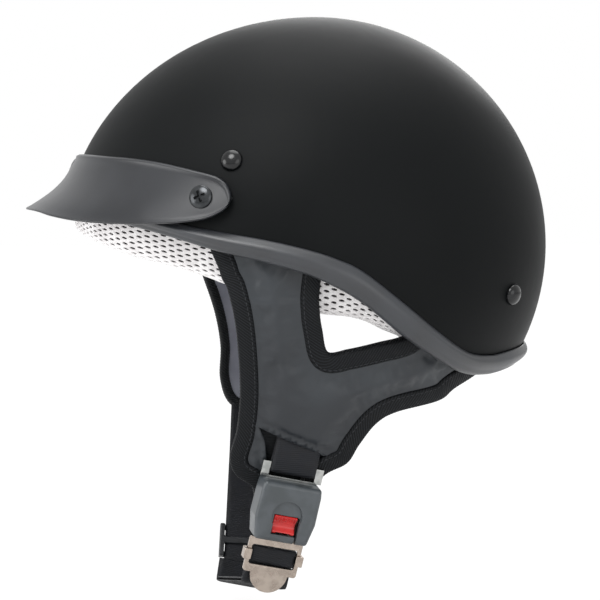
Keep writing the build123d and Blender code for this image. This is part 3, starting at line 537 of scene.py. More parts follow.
# CAD pieces that keep their shape
finishes = {
    "outer_shell": shellPaint, "visor_inserts": zincSteel, "rivet_washers": zincSteel, "eps_liner": beadFoam,
    "comfort_foam": beadFoam, "crown_pad": netCore, "chin_slider": blackPlastic, "buckle_back": coverPlastic,
    "buckle_cover": coverPlastic, "buckle_plate": chromeSteel, "latch": zincSteel, "ejector": blackPlastic,
    "ejector_spring": zincSteel, "tongue": nickelSteel, "lock_bar": nickelSteel,
}
for name, material in finishes.items():
    mesh = nodes[name].data
    mesh.materials.clear()
    mesh.materials.append(material)

# buckle parts with broken edges: the same meshes, on the same bodies
softEdges = {  # piece: its body, its slot and the width of its edges
    "buckle_cover": ("helmet", "grey_plastic", 0.30 * mm),
    "buckle_plate": ("helmet", "chromed_steel", 0.45 * mm),
    "chin_slider": ("chin_slider", "black_plastic", 0.80 * mm),
    "tongue": ("tongue", "nickel_steel", 0.45 * mm),
    "lock_bar": ("lock_bar", "nickel_steel", 0.40 * mm),
}
softSettings = {
    "merge": 1e-6,  # metres between points that are one
    "flat": 1,  # degrees; faces that turn less are one face
    "sharp": 35,  # degrees; an edge that turns more is broken
    "segments": 2,
}


def softened(name, width, settings):
    mesh = nodes[name].data.copy()
    mesh.materials.clear()
    mesh.transform(nodes[name].matrix_world)
    work = bmesh.new()
    work.from_mesh(mesh)
    bmesh.ops.remove_doubles(work, verts=work.verts, dist=settings["merge"])
    flat = math.radians(settings["flat"])
    bmesh.ops.dissolve_limit(work, angle_limit=flat, verts=work.verts, edges=work.edges)
    work.to_mesh(mesh)
    work.free()
    piece = newPiece(name + "Soft", mesh, finishes[name])
    bevel = piece.modifiers.new("edges", "BEVEL")
    bevel.width, bevel.segments = width, settings["segments"]
    bevel.angle_limit = math.radians(settings["sharp"])
    piece.modifiers.new("normals", "WEIGHTED_NORMAL")
    return bakeModifiers(piece)


for name, (body, slot, width) in softEdges.items():
    standIn(softened(name, width, softSettings), body, slot, name)
print("edges broken")

# short peak: one wall, flared at the front, between an upper and a lower line in side view
peakTop = [  # place along the dome and height, in shares of its front reach and its height
    (-0.950, 0.400), (-0.910, 0.395), (-0.821, 0.384), (-0.729, 0.374), (-0.619, 0.354), (-0.491, 0.320),
    (-0.420, 0.299), (-0.385, 0.275), (-0.368, 0.240), (-0.364, 0.208)]
peakLow = [
    (-1.151, 0.160), (-1.094, 0.151), (-1.030, 0.132), (-0.931, 0.114), (-0.790, 0.104), (-0.613, 0.106),
    (-0.510, 0.115), (-0.445, 0.130), (-0.395, 0.158), (-0.370, 0.186), (-0.364, 0.208)]
peakFlare = [  # height share, and share of the flare
    (0.08, 1.60), (0.16, 0.93), (0.21, 0.53), (0.25, 0.28), (0.30, 0.10), (0.37, 0.02), (0.42, 0.0)]
peakSettings = {
    "around": 160,
    "rows": 20,
    "gap": 0.6 * mm,
    "wall": 2.6 * mm,
    "flare": 22.0 * mm,
    "bead": 0.5 * mm,  # raised line along both edges
    "beadReach": 1.7 * mm,
    "rounding": 0.9 * mm,
    "least": 0.6 * mm,  # its height where its edges meet at the side
    "roundShare": 0.3,  # of its height, the most that one edge's rounding takes
    "roundSteps": 5,
}
flareLine = curvedLine(peakFlare)
peakTopLine, peakLowLine = (curvedLine([(x * dome["front"], z * dome["height"]) for x, z in line])
                            for line in (peakTop, peakLow))


def peakPoint(angle, z, proud):
    level = math.sqrt(max(0.0, 1 - (z / dome["height"]) ** 2))
    flare = peakSettings["flare"] * along(flareLine, z / dome["height"])
    return Vector(((dome["front"] * level + proud + flare) * math.cos(angle),
                   (dome["halfWidth"] * level + proud) * math.sin(angle), z))


def peakEdge(line, angle, tries=80, pull=0.25):
    z = peakTop[-1][1] * dome["height"]
    for _ in range(tries):  # each try goes a share of the way to the line's height
        x = peakPoint(angle, z, peakSettings["gap"] + peakSettings["wall"]).x
        z += pull * (along(line, x) - z)
    return z


def makePeak(settings):
    gap, wall, rows = settings["gap"], settings["wall"], settings["rows"]
    tipX, tipZ = peakTop[-1][0] * dome["front"], peakTop[-1][1] * dome["height"]
    tip = math.acos(tipX / -peakPoint(math.pi, tipZ, gap + wall).x)
    sections = []
    for i in range(-settings["around"] // 2, settings["around"] // 2 + 1):
        angle = math.pi + (math.pi - tip) * math.sin(math.pi * i / settings["around"])
        low, top = peakEdge(peakLowLine, angle), peakEdge(peakTopLine, angle)
        top = max(top, low + settings["least"])
        rounding = min(settings["rounding"], settings["roundShare"] * (top - low))
        low, top = low + rounding, top - rounding
        section = []
        for k in range(rows + 1):
            z = low + (top - low) * 0.5 * (1 - math.cos(math.pi * k / rows))
            bead = settings["bead"] * (1 - smoothStep(min(z - low, top - z) / settings["beadReach"]))
            section.append(peakPoint(angle, z, gap + wall + bead))
        for edge, up in ((top, 1), (low, -1)):
            for k in range(1, settings["roundSteps"]):
                turn = math.pi * k / settings["roundSteps"]
                share = 0.5 + 0.5 * math.cos(turn) * up
                section.append(peakPoint(angle, edge + up * rounding * math.sin(turn), gap + wall * share))
            if up == 1:
                section += [peakPoint(angle, top + (low - top) * k / rows, gap) for k in range(rows + 1)]
        sections.append(section)
    return newPiece("peak", rings("peak", sections), peakPlastic)


peak = makePeak(peakSettings)
standIn(peak, "helmet", "visor_plastic", "visor")
print("peak", len(peak.data.polygons), "faces")

# screws and rivets: turned heads on the skin, each facing out of it
screwSettings = {
    "seat": 4.4 * mm,  # how far the head stands off the skin
    "height": 3.4 * mm,
    "radius": 6.35 * mm,
    "skirt": 1.3 * mm,
    "foot": 3.0 * mm,
    "shank": 2.5 * mm,
    "shankEnd": -11.6 * mm,
    "recessLength": 7.0 * mm,
    "recessWidth": 1.6 * mm,
    "recessLevels": ((1.7 * mm, 0.55), (0.5 * mm, 0.92), (-1.0 * mm, 1.05)),  # depth, and share of its size
    "sharp": 32,  # degrees; a sharper edge isn't smoothed
}
rivetSettings = {
    "height": 4.0 * mm,
    "radius": 6.0 * mm,
    "flatness": 0.9,
    "shank": 2.3 * mm,
    "tailRadius": 3.75 * mm,
    "grip": -7.3 * mm,
    "shankEnd": -8.9 * mm,
    "sharp": 50,
}
# place along the dome (none in the middle of the front), height, side, and how deep the head is sunk
screwPlaces = [(-0.458, 0.207, left, 0), (-0.458, 0.207, right, 0), (None, 0.332, 0, 3.4 * mm)]
rivetPlaces = [(x, z, side, 0) for x, z in ((-0.358, 0.362), (0.778, -0.195)) for side in (left, right)]
quarter = [0.5 * math.pi * k / 12 for k in range(13)]  # turns of a round top


def turned(name, profile, material, around=48):
    sections = []
    for k in range(around):
        turn = 2 * math.pi * k / around
        sections.append([Vector((r * math.cos(turn), r * math.sin(turn), h)) for r, h in profile])
    return newPiece(name, outward(rings(name, sections, closedPath=True), merge=1e-6), material)


def screwHead(settings):
    seat, radius, skirt = settings["seat"], settings["radius"], settings["skirt"]
    top = seat + settings["height"]
    profile = [(radius * math.sin(turn), seat + skirt + (settings["height"] - skirt) * math.cos(turn))
               for turn in quarter]
    profile += [(radius, settings["foot"]), (settings["shank"], settings["foot"]),
                (settings["shank"], settings["shankEnd"]), (0, settings["shankEnd"])]
    head = turned("screwHead", profile, blackSteel)
    halfLength, halfWidth = settings["recessLength"] / 2, settings["recessWidth"] / 2
    corner = [(halfLength, halfWidth), (halfWidth, halfWidth), (halfWidth, halfLength)]
    outline = [(x * c - y * s, x * s + y * c)
               for c, s in ((1, 0), (0, 1), (-1, 0), (0, -1)) for x, y in corner]
    levels = [[Vector((x * share, y * share, top - depth)) for x, y in outline]
              for depth, share in settings["recessLevels"]]
    bit = newPiece("bit", rings("bit", levels), blackSteel, smooth=False)
    cut = head.modifiers.new("recess", "BOOLEAN")
    cut.operation, cut.solver, cut.object = "DIFFERENCE", "EXACT", bit
    head = bakeModifiers(head)
    bpy.data.objects.remove(bit)
    head.data.set_sharp_from_angle(angle=math.radians(settings["sharp"]))
    return head


def rivetHead(settings):
    radius, height, flatness = settings["radius"], settings["height"], settings["flatness"]
    profile = [(radius * math.sin(turn), height * math.cos(turn) ** flatness) for turn in quarter]
    profile += [(settings["shank"], 0), (settings["shank"], settings["grip"]),
                (settings["tailRadius"], settings["grip"]), (settings["tailRadius"], settings["shankEnd"]),
                (0, settings["shankEnd"])]
    head = turned("rivetHead", profile, rivetEnamel)
    head.data.set_sharp_from_angle(angle=math.radians(settings["sharp"]))
    return head


setHeads, given = newTree("setHeads", head="Object", material="Material")
facing = node(setHeads, "GeometryNodeInputNamedAttribute", {"data_type": "FLOAT_VECTOR"}, {"Name": "facing"})
turn = node(setHeads, "FunctionNodeAlignRotationToVector", {"axis": "Z"}, {"Vector": facing.outputs[0]})
source = node(setHeads, "GeometryNodeObjectInfo", {}, {"Object": given["head"]})
heads = node(setHeads, "GeometryNodeInstanceOnPoints", {},
             {"Points": given["Geometry"], "Instance": source.outputs["Geometry"],
              "Rotation": turn.outputs[0]})
endTree(setHeads, heads.outputs[0], given["material"])


def setOnSkin(name, places, head, material):
    spots, normals = [], []
    for x, z, side, sunk in places:
        z *= dome["height"]
        x = -dome["front"] * math.sqrt(1 - (z / dome["height"]) ** 2) if x is None else reachOf(x)
        reach = endReach(x)
        rest = 1 - (x / reach) ** 2 - (z / dome["height"]) ** 2
        y = side * dome["halfWidth"] * math.sqrt(max(0.0, rest))
        slope = Vector((x / reach ** 2, y / dome["halfWidth"] ** 2, z / dome["height"] ** 2)).normalized()
        spots.append(Vector((x, y, z)) - slope * sunk)
        normals.append(slope)
    mesh = meshFrom(name, spots, [])
    facing = mesh.attributes.new("facing", "FLOAT_VECTOR", "POINT")
    for item, normal in zip(facing.data, normals):
        item.vector = normal
    piece = runTree(newPiece(name, mesh), setHeads, head=head, material=material)
    bpy.data.objects.remove(head)
    return piece


for name, replaced, places, head, material in (
        ("peakScrews", "visor_screws", screwPlaces, screwHead(screwSettings), blackSteel),
        ("domedRivets", "strap_rivets", rivetPlaces, rivetHead(rivetSettings), rivetEnamel)):
    piece = setOnSkin(name, places, head, material)
    standIn(piece, "helmet", "black_hardware", replaced)
    print(name, len(piece.data.polygons), "faces")

# ear and neck panels: their outlines in side view, in shares of the dome's half width
panelOutlines = {
    left: [
        (-0.545, 0.150), (-0.500, -0.100), (-0.462, -0.190), (-0.422, -0.380), (-0.400, -0.660),
        (-0.412, -0.860), (-0.444, -1.000), (-0.415, -1.085), (-0.340, -1.140), (-0.300, -1.230),
        (-0.120, -1.230), (0.000, -1.090), (0.110, -1.030), (0.165, -0.940), (0.245, -0.835),
        (0.345, -0.780), (0.560, -0.735), (0.640, -0.680), (0.800, -0.585), (0.860, -0.440),
        (0.520, -0.340), (0.380, -0.425), (0.256, -0.455), (0.108, -0.486), (0.000, -0.496),
        (-0.036, -0.382), (-0.056, -0.240), (-0.075, 0.150)],
    right: [
        (-0.620, 0.150), (-0.575, -0.100), (-0.540, -0.190), (-0.478, -0.380), (-0.448, -0.560),
        (-0.452, -0.735), (-0.395, -0.865), (-0.230, -0.905), (-0.060, -0.905), (0.110, -0.890),
        (0.245, -0.835), (0.345, -0.780), (0.560, -0.735), (0.640, -0.680), (0.800, -0.585),
        (0.860, -0.440), (0.540, -0.520), (0.380, -0.590), (0.256, -0.620), (0.108, -0.640),
        (0.012, -0.640), (-0.018, -0.480), (-0.030, -0.260), (-0.042, 0.150)],
}
pocketShares = [  # opening in the left panel's skin that the buckle's webbing comes out of
    (-0.318, -0.842), (-0.225, -0.885), (-0.110, -0.935), (0.018, -1.003), (-0.020, -1.105),
    (-0.130, -1.175), (-0.255, -1.165), (-0.272, -1.050), (-0.285, -0.930)]
panelSettings = {
    "spacing": 2.2 * mm,  # distance between the pad's mesh points
    "edgeTuck": 3.0 * mm,  # how far the pad reaches under the tape
    "thickness": 5.2 * mm,
    "edgeThickness": 3.8 * mm,
    "crown": 1.3 * mm,  # how far the padding swells between the tapes
    "swellReach": 17.0 * mm,
    "swellFrom": 0.8,  # tape widths from the outline to where the swelling starts
    "fullAt": 1.3,  # tape widths from the outline to where the pad has its whole thickness
    "pocketSpacing": 0.6,  # of the mesh points round the pocket, as a share of the others'
    "edgeDrop": 0.3 * mm,  # how much lower its skin lies at the outline
    "backSwell": 0.4,  # share of the swelling that shows on the lining
    "lip": 0.7 * mm,  # raised edge round the pocket
    "lipReach": 2.2 * mm,
    "pocketDepth": 2.4 * mm,
}
creaseSettings = {  # lazy creases in the padding, from noise and slanting folds
    "depth": 0.35 * mm,
    "patch": (34, 3.0, 21),  # patches to a metre along and up; the side keeps the panels unlike
    "fineScale": 2.3,
    "fineShare": 0.5,
    "foldShare": 0.35,
    "foldPitch": 165,  # radians to a metre
    "foldSlant": 0.55,
    "foldWander": 2.2,
    "wanderScale": 0.8,
}
tapeSettings = {
    "width": 9.2 * mm,
    "backWidth": 3.6 * mm,  # how far it laps over the lining
    "fold": 0.9 * mm,  # how far its fold stands out of the outline
    "foldTop": 0.7 * mm,
    "foldDrop": 1.4 * mm,  # how much further the fold goes down than the pad's edge is thick
    "foldPoints": 7,
    "step": 0.42 * mm,
    "ribPitch": 1.75 * mm,
    "ribDepth": 0.24 * mm,
    "ribSlant": -0.95,
    "proud": 0.95 * mm,
    "sink": 0.25 * mm,
    "backSink": 0.1 * mm,
    "crown": 0.45 * mm,
    "crownReach": 1.05,  # half turns of the crown over its width
    "edgeFrom": 0.95,  # share of its width where it thins
    "edgeShare": 0.3,  # how proud it still is there
    "profile": 9,  # points across each face of the tape
    "turnReach": 4.5 * mm,  # over which a corner of the outline is rounded
    "tilt": 4 * mm,  # where across the tape the pad's slope is taken
    "seam": 0.80,  # place of the stitches, as a share of the width
    "seamLift": 0.12 * mm,
}


def sidePoints(shares):
    return [Vector(share) * dome["halfWidth"] for share in shares]


def panelLoop(side):
    return catmull(sidePoints(panelOutlines[side]), 12, closed=True)


def insideOf(point, loop):
    inside = False
    for a, b in zip(loop, loop[1:] + loop[:1]):
        if (a.y > point.y) != (b.y > point.y):
            if point.x < a.x + (point.y - a.y) * (b.x - a.x) / (b.y - a.y):
                inside = not inside
    return inside


def distanceTo(point, loop):
    best = 1.0  # metres, which is far from everything
    for a, b in zip(loop, loop[1:] + loop[:1]):
        run = b - a
        length = run.length_squared
        t = max(0.0, min(1.0, (point - a).dot(run) / length)) if length else 0.0
        best = min(best, (a + run * t - point).length)
    return best


def smoothNormals(loop, reach):
    count = len(loop)
    raw = []
    for i in range(count):
        run = (loop[(i + 1) % count] - loop[i - 1]).normalized()
        raw.append(Vector((-run.y, run.x)))
    if sum(a.x * b.y - b.x * a.y for a, b in zip(loop, loop[1:] + loop[:1])) < 0:
        raw = [-n for n in raw]
    smooth = []
    for i in range(count):
        total = Vector((0.0, 0.0))
        for k in range(-reach, reach + 1):
            total += raw[(i + k) % count] * (1 - abs(k) / (reach + 1))
        smooth.append(total.normalized())
    return smooth


def panelLift(x, z, rim, side, settings, crease):
    swell = smoothStep((rim - tapeSettings["width"] * settings["swellFrom"]) / settings["swellReach"])
    wide, apart, tall = crease["patch"]
    spot = Vector((x * wide, side * apart, z * tall))
    patches = noise.noise(spot) + crease["fineShare"] * noise.noise(spot * crease["fineScale"])
    wander = crease["foldWander"] * noise.noise(spot * crease["wanderScale"])
    folds = math.sin((z - x * crease["foldSlant"]) * crease["foldPitch"] + wander)
    return swell * (settings["crown"] + crease["depth"] * (patches + crease["foldShare"] * folds))


clothSettings = {
    "scale": 10.0,  # the skin is simulated at ten times its size
    "frames": 40,
    "quality": 6,
    "mass": 0.3,
    "stretch": 15,
    "shear": 8,
    "bending": 1.5,
    "growth": 0.09,  # spare length of the skin over its pad
    "pressure": 1.0,
    "rise": 2.6 * mm,
    "sink": 1.2 * mm,
    "clear": 1.5 * mm,  # next to the tape it is stitched down
    "hold": 7.0 * mm,  # how far from there the skin comes free
}


def settledLifts(spots, faces, normals, free, settings):
    scene, scale = bpy.context.scene, settings["scale"]
    piece = newPiece("skin", meshFrom("skin", [p * scale for p in spots], faces), leatherette)
    group = piece.vertex_groups.new(name="held")
    for i, share in enumerate(free):
        group.add([i], 1 - share, "REPLACE")
    cloth = piece.modifiers.new("cloth", "CLOTH")
    yarn = cloth.settings
    yarn.quality, yarn.mass = settings["quality"], settings["mass"]
    yarn.tension_stiffness = yarn.compression_stiffness = settings["stretch"]
    yarn.shear_stiffness, yarn.bending_stiffness = settings["shear"], settings["bending"]
    yarn.vertex_group_mass = "held"
    yarn.shrink_min = -settings["growth"]
    yarn.use_pressure, yarn.uniform_pressure_force = True, settings["pressure"]
    yarn.effector_weights.gravity = 0
    cloth.collision_settings.use_collision = False
    for number in range(1, settings["frames"] + 1):
        scene.frame_set(number)
    shape = piece.evaluated_get(bpy.context.evaluated_depsgraph_get()).data
    raw = [(v.co / scale - p).dot(n) for v, p, n in zip(shape.vertices, spots, normals)]
    bpy.data.objects.remove(piece)
    scene.frame_set(1)
    rise, sink = settings["rise"], settings["sink"]
    print("skin settled: from", round(min(raw) / mm, 2), "to", round(max(raw) / mm, 2), "mm")
    return [rise * math.tanh(d / rise) if d > 0 else sink * math.tanh(d / sink) for d in raw]


def closedEdges(first, count):
    return [(first + i, first + (i + 1) % count) for i in range(count)]


def padNet(edge, pocketEdge, step, rowShare=0.866, edgeClear=0.55, pocketClear=0.45):
    points = edge + pocketEdge
    borders = closedEdges(0, len(edge)) + closedEdges(len(edge), len(pocketEdge))
    low = Vector((min(p.x for p in edge), min(p.y for p in edge)))
    high = Vector((max(p.x for p in edge), max(p.y for p in edge)))
    for j in range(int((high.y - low.y) / (step * rowShare)) + 1):
        z = low.y + j * step * rowShare
        for i in range(int((high.x - low.x) / step) + 1):
            p = Vector((low.x + (i + 0.5 * (j % 2)) * step, z))
            clear = distanceTo(p, pocketEdge) > step * pocketClear
            if clear and insideOf(p, edge) and distanceTo(p, edge) > step * edgeClear:
                points.append(p)
    flat, _, triangles, *_ = delaunay_2d_cdt(points, borders, [], 1, 1e-7)
    top, sunk = [], []
    for t in triangles:
        middle = sum((flat[k] for k in t), Vector((0.0, 0.0))) / 3
        if insideOf(middle, edge):
            (sunk if insideOf(middle, pocketEdge) else top).append(tuple(t))
    return flat, top, sunk


def freedom(p, rim, pocketEdge, settings):  # from 0, held down, to 1, free
    if insideOf(p, pocketEdge):
        return 0.0
    share = smoothStep((rim - tapeSettings["width"] - settings["clear"]) / settings["hold"])
    share *= smoothStep((along(rimLow, p.x) - p.y) / settings["hold"])
    return share * smoothStep(distanceTo(p, pocketEdge) / settings["hold"])


def padSpots(flat, loop, pocketEdge, side, settings):
    skin, lining, floor, normals, free = [], [], [], [], []
    for p in flat:
        rim = distanceTo(p, loop)
        n = funnelNormal(p.x, p.y, side)
        lift = panelLift(p.x, p.y, rim, side, settings, creaseSettings)
        full = smoothStep(rim / (tapeSettings["width"] * settings["fullAt"]))
        thick = settings["edgeThickness"] + (settings["thickness"] - settings["edgeThickness"]) * full
        foot = funnelPoint(p.x, p.y, side)
        height = lift - (1 - full) * settings["edgeDrop"]
        if rim > tapeSettings["width"]:
            height += settings["lip"] * math.exp(-(distanceTo(p, pocketEdge) / settings["lipReach"]) ** 2)
        skin.append(foot + n * height)
        lining.append(foot - n * (thick + settings["backSwell"] * lift))
        floor.append(foot - n * settings["pocketDepth"])
        normals.append(n)
        free.append(freedom(p, rim, pocketEdge, clothSettings))
    return skin, lining, floor, normals, free


def makePanel(side, name, settings, pocket=None):
    loop, step = panelLoop(side), settings["spacing"]
    edge = evenly(loop, step, closed=True)
    edge = [p + n * (tapeSettings["width"] - settings["edgeTuck"]) * 0.5
            for p, n in zip(edge, smoothNormals(edge, 2))]
    pocketEdge = evenly(pocket, settings["pocketSpacing"] * step, closed=True) if pocket else []
    flat, top, sunk = padNet(edge, pocketEdge, step)
    skin, lining, floor, normals, free = padSpots(flat, loop, pocketEdge, side, settings)
    sheet = [t if side == left else t[::-1] for t in top + sunk]
    lifts = settledLifts(skin, sheet, normals, free, clothSettings)
    skin = [p + n * lift for p, n, lift in zip(skin, normals, lifts)]
    count = len(flat)
    faces = top + [tuple(k + 2 * count for k in t) for t in sunk]
    faces += [tuple(k + count for k in reversed(t)) for t in top + sunk]
    finishOf = [0] * len(top) + [2] * len(sunk) + [1] * (len(top) + len(sunk))
    for group, upper, lower in ((top + sunk, 0, count), (sunk, 2 * count, 0)):
        edges = {(a, b) for t in group for a, b in zip(t, t[1:] + t[:1])}
        walls = [(b + upper, a + upper, a + lower, b + lower) for a, b in edges if (b, a) not in edges]
        faces += walls
        finishOf += [0] * len(walls)
    mesh = bpy.data.meshes.new(name)
    mesh.from_pydata([tuple(p) for p in skin + lining + floor], [], faces)
    layer = mesh.uv_layers.new(name="UVMap")
    for item in mesh.loops:
        p = flat[item.vertex_index % count]
        layer.data[item.index].uv = (p.x - p.y, p.x + p.y)
    for face, kind in zip(mesh.polygons, finishOf):
        face.material_index = kind
    return newPiece(name, outward(mesh), leatherette, innerKnit, bindingTape)


def ribRise(run, across, settings):
    wave = math.cos(2 * math.pi * (run + across * settings["ribSlant"]) / settings["ribPitch"])
    return settings["ribDepth"] * (0.5 + 0.5 * wave)


def tapeCrown(share, settings):
    return settings["crown"] * math.sin(math.pi * min(1, share * settings["crownReach"]))


def tapeSpot(p, n, surface, s, height, side):
    spot = p + n * s
    return funnelPoint(spot.x, spot.y, side) + surface * height


def makeTape(side, name, settings):
    step, width, size, proud = (settings[word] for word in ("step", "width", "profile", "proud"))
    tilt, turns = settings["tilt"], settings["foldPoints"]
    loop = evenly(panelLoop(side), step, closed=True)
    normals = smoothNormals(loop, round(settings["turnReach"] / step))
    back = panelSettings["edgeThickness"]
    sections, uvRows, seam = [], [], []
    for i, (p, n) in enumerate(zip(loop, normals)):
        surface = funnelNormal(p.x + n.x * tilt, p.y + n.y * tilt, side)
        base = funnelPoint(p.x, p.y, side)
        inPlane = (funnelPoint(p.x + n.x * mm, p.y + n.y * mm, side) - base).normalized()
        run = i * step
        section, row = [], []
        for k in range(size):
            share = 1 - k / (size - 1)
            rest = 1.0 if share < settings["edgeFrom"] else settings["edgeShare"]
            place = share * width
            crown = tapeCrown(share, settings) + ribRise(run, place, settings) * rest
            section.append(tapeSpot(p, n, surface, place, proud * rest - settings["sink"] + crown, side))
            row.append((run, place))
        for k in range(1, turns):
            turn = math.pi * k / turns
            out = (settings["fold"] + ribRise(run, -k * mm, settings)) * math.sin(turn)
            height = settings["foldTop"] - (back + settings["foldDrop"]) * (1 - math.cos(turn)) / 2
            section.append(base - inPlane * out + surface * height)
            row.append((run, -k * mm))
        for k in range(size):
            share = k / (size - 1)
            place = share * settings["backWidth"]
            crown = tapeCrown(share, settings) + ribRise(run, place, settings)
            section.append(tapeSpot(p, n, surface, place, -back - proud + settings["backSink"] - crown, side))
            row.append((run, place))
        sections.append(section)
        uvRows.append(row)
        seam.append(tapeSpot(p, n, surface, settings["seam"] * width, proud + settings["seamLift"], side))
    return newPiece(name, rings(name, sections, closedPath=True, uvRows=uvRows), bindingTape), seam


# rows of stitches: short threads laid along a line
stitchSettings = {"pitch": 2.9 * mm, "length": 2.2 * mm, "thread": 0.28 * mm}
stitchRow, given = newTree("stitchRow", pitch="Float", length="Float", thread="Float", material="Material")
curve = node(stitchRow, "GeometryNodeMeshToCurve", {}, {"Mesh": given["Geometry"]})
even = node(stitchRow, "GeometryNodeResampleCurve", {"mode": "LENGTH"},
            {"Curve": curve.outputs[0], "Length": given["pitch"]})
half = node(stitchRow, "ShaderNodeMath", {"operation": "MULTIPLY"}, {0: given["length"], 1: 0.5})
size = node(stitchRow, "ShaderNodeCombineXYZ", {},
            {0: given["thread"], 1: given["thread"], 2: half.outputs[0]})
ball = node(stitchRow, "GeometryNodeMeshUVSphere", {}, {"Segments": 6, "Rings": 5, "Radius": 1.0})
turn = node(stitchRow, "FunctionNodeAlignRotationToVector", {"axis": "Z"},
            {"Vector": node(stitchRow, "GeometryNodeInputTangent").outputs[0]})
threads = node(stitchRow, "GeometryNodeInstanceOnPoints", {},
               {"Points": even.outputs[0], "Instance": ball.outputs["Mesh"], "Rotation": turn.outputs[0],
                "Scale": size.outputs[0]})
endTree(stitchRow, threads.outputs[0], given["material"])


def stitchLine(name, spots):
    mesh = bpy.data.meshes.new(name)
    mesh.from_pydata([tuple(p) for p in spots], closedEdges(0, len(spots)), [])
    return runTree(newPiece(name, mesh), stitchRow, material=threadFinish, **stitchSettings)


for side, word in bothSides:
    pocket = sidePoints(pocketShares) if side == left else None
    panel = makePanel(side, word + "Panel", panelSettings, pocket)
    layers = [f"{word}_panel_{layer}" for layer in ("face", "foam", "lining")]
    standIn(panel, "helmet", "grey_leather", *layers)
    tape, seam = makeTape(side, word + "Binding", tapeSettings)
    tape = joined(tape, stitchLine(word + "Stitches", seam))
    standIn(tape, "helmet", "binding_tape", word + "_panel_binding")
    print(word, "panel", len(panel.data.polygons), "faces, tape", len(tape.data.polygons))

# rubber trim on the shell's rim: a U section with a bulging outer face
trimSettings = {
    "around": 300,
    "shellWall": 3.2 * mm,
    "gap": 0.12 * mm,
    "edge": 0.6 * mm,  # how proud it is at its upper edge and low down
    "proud": 4.4 * mm,
    "bulge": (0.02, 0.89, 0.95),  # its start and end as shares of a half turn, and its fullness
    "inner": 5.2 * mm,  # where its inner wall ends, under the shell's skin
    "innerTop": (2.2 * mm, 1.5 * mm, 1.8 * mm),  # how far under the top: its wall, its round and its slot
    "innerRound": 0.8 * mm,
    "facePoints": 12,
    "roundPoints": 8,
    "drop": 2.4 * mm,  # height of the round under the rim
    "lip": 2.2 * mm,
}


def trimSection(angle, settings):
    low, top = heightAt(rimLow, angle, 0), heightAt(rimTop, angle, 0)
    drop, edge, gap, inner = (settings[word] for word in ("drop", "edge", "gap", "inner"))
    start, end, fullness = settings["bulge"]
    profile = []
    for k in range(settings["facePoints"] + 1):
        t = k / settings["facePoints"]
        bulge = math.sin(math.pi * (start + (end - start) * t)) ** fullness
        profile.append((-edge - (settings["proud"] - edge) * bulge, top - (top - low - drop) * t))
    outer = -profile[-1][0]
    middle, half = 0.5 * (inner - outer), 0.5 * (inner + outer)
    for k in range(1, settings["roundPoints"]):
        turn = math.pi * k / settings["roundPoints"]
        profile.append((middle - half * math.cos(turn), low + drop * (1 - math.sin(turn))))
    wallTop, roundTop, slotTop = (top - down for down in settings["innerTop"])
    slot, lip = settings["shellWall"] + gap, low + settings["lip"]
    profile += [(inner, low + drop), (inner, wallTop), (inner - settings["innerRound"], roundTop),
                (slot, slotTop), (slot, lip), (-gap, lip), (-gap, top - gap)]
    return [domePoint(angle, z, inset) for inset, z in profile]


angles, _ = evenAngles(trimSettings["around"], 0)
trimRings = rings("edgeTrim", [trimSection(angle, trimSettings) for angle in angles], closedPath=True)
trim = newPiece("edgeTrim", trimRings, trimRubber)
standIn(trim, "helmet", "trim_rubber", "edge_trim")

# puffy edge roll of the liner, in white spacer mesh
rollSettings = {
    "middle": 26.0 * mm,  # how far its middle lies inside the shell's skin
    "frontMiddle": 12.0 * mm,  # the same over the brow
    "front": (0.5, 0.45),  # where that starts, and over how much, in the cosine of the place
    "half": 6.0 * mm,
    "puff": 1.3 * mm,
    "topLift": 1.0 * mm,
    "leastWall": 1.0 * mm,
    "holePitch": 8.0 * mm,  # along the roll; the rows give the pitch across it
    "rows": 40,
    "netGap": 0.75 * mm,
    "holeShare": 0.60,
}


def rollMiddle(angle):
    start, span = rollSettings["front"]
    front = smoothStep((-math.cos(angle) - start) / span)
    return rollSettings["middle"] + (rollSettings["frontMiddle"] - rollSettings["middle"]) * front


def rollPoint(angle, ends, share, shrink=0.0):
    middle, half = rollMiddle(angle), rollSettings["half"] - shrink
    top, bend = ends[0], ends[1] + rollSettings["half"]
    bow = 0.5 * math.pi * half
    wall = max(rollSettings["leastWall"], top - bend)
    at = share * 2 * (wall + bow)
    if at < wall:
        puff = rollSettings["puff"] * math.sin(math.pi * at / wall)
        return domePoint(angle, top - at, middle - half - puff)
    if at < wall + 2 * bow:
        turn = (at - wall) / half
        return domePoint(angle, bend - half * math.sin(turn), middle - half * math.cos(turn))
    risen = at - wall - 2 * bow
    puff = rollSettings["puff"] * math.sin(math.pi * risen / wall)
    return domePoint(angle, bend + risen, middle + half + puff)


spacerMesh, given = newTree("spacerMesh", holeShare="Float", wallDepth="Float", material="Material")
inset = node(spacerMesh, "GeometryNodeExtrudeMesh", {"mode": "FACES"},
             {"Mesh": given["Geometry"], "Offset Scale": 0.0, "Individual": True})
hole = node(spacerMesh, "GeometryNodeScaleElements", {"domain": "FACE"},
            {"Geometry": inset.outputs["Mesh"], "Selection": inset.outputs["Top"],
             "Scale": given["holeShare"]})
opened = node(spacerMesh, "GeometryNodeDeleteGeometry", {"domain": "FACE"},
              {"Geometry": hole.outputs[0], "Selection": inset.outputs["Top"]})
rounded = node(spacerMesh, "GeometryNodeSubdivisionSurface", {}, {"Mesh": opened.outputs[0], "Level": 1})
sides = node(spacerMesh, "GeometryNodeInputMeshEdgeNeighbors")
rim = node(spacerMesh, "FunctionNodeCompare", {"data_type": "INT", "operation": "EQUAL"},
           {2: sides.outputs[0], 3: 1})
depth = node(spacerMesh, "ShaderNodeMath", {"operation": "MULTIPLY"}, {0: given["wallDepth"], 1: -1.0})
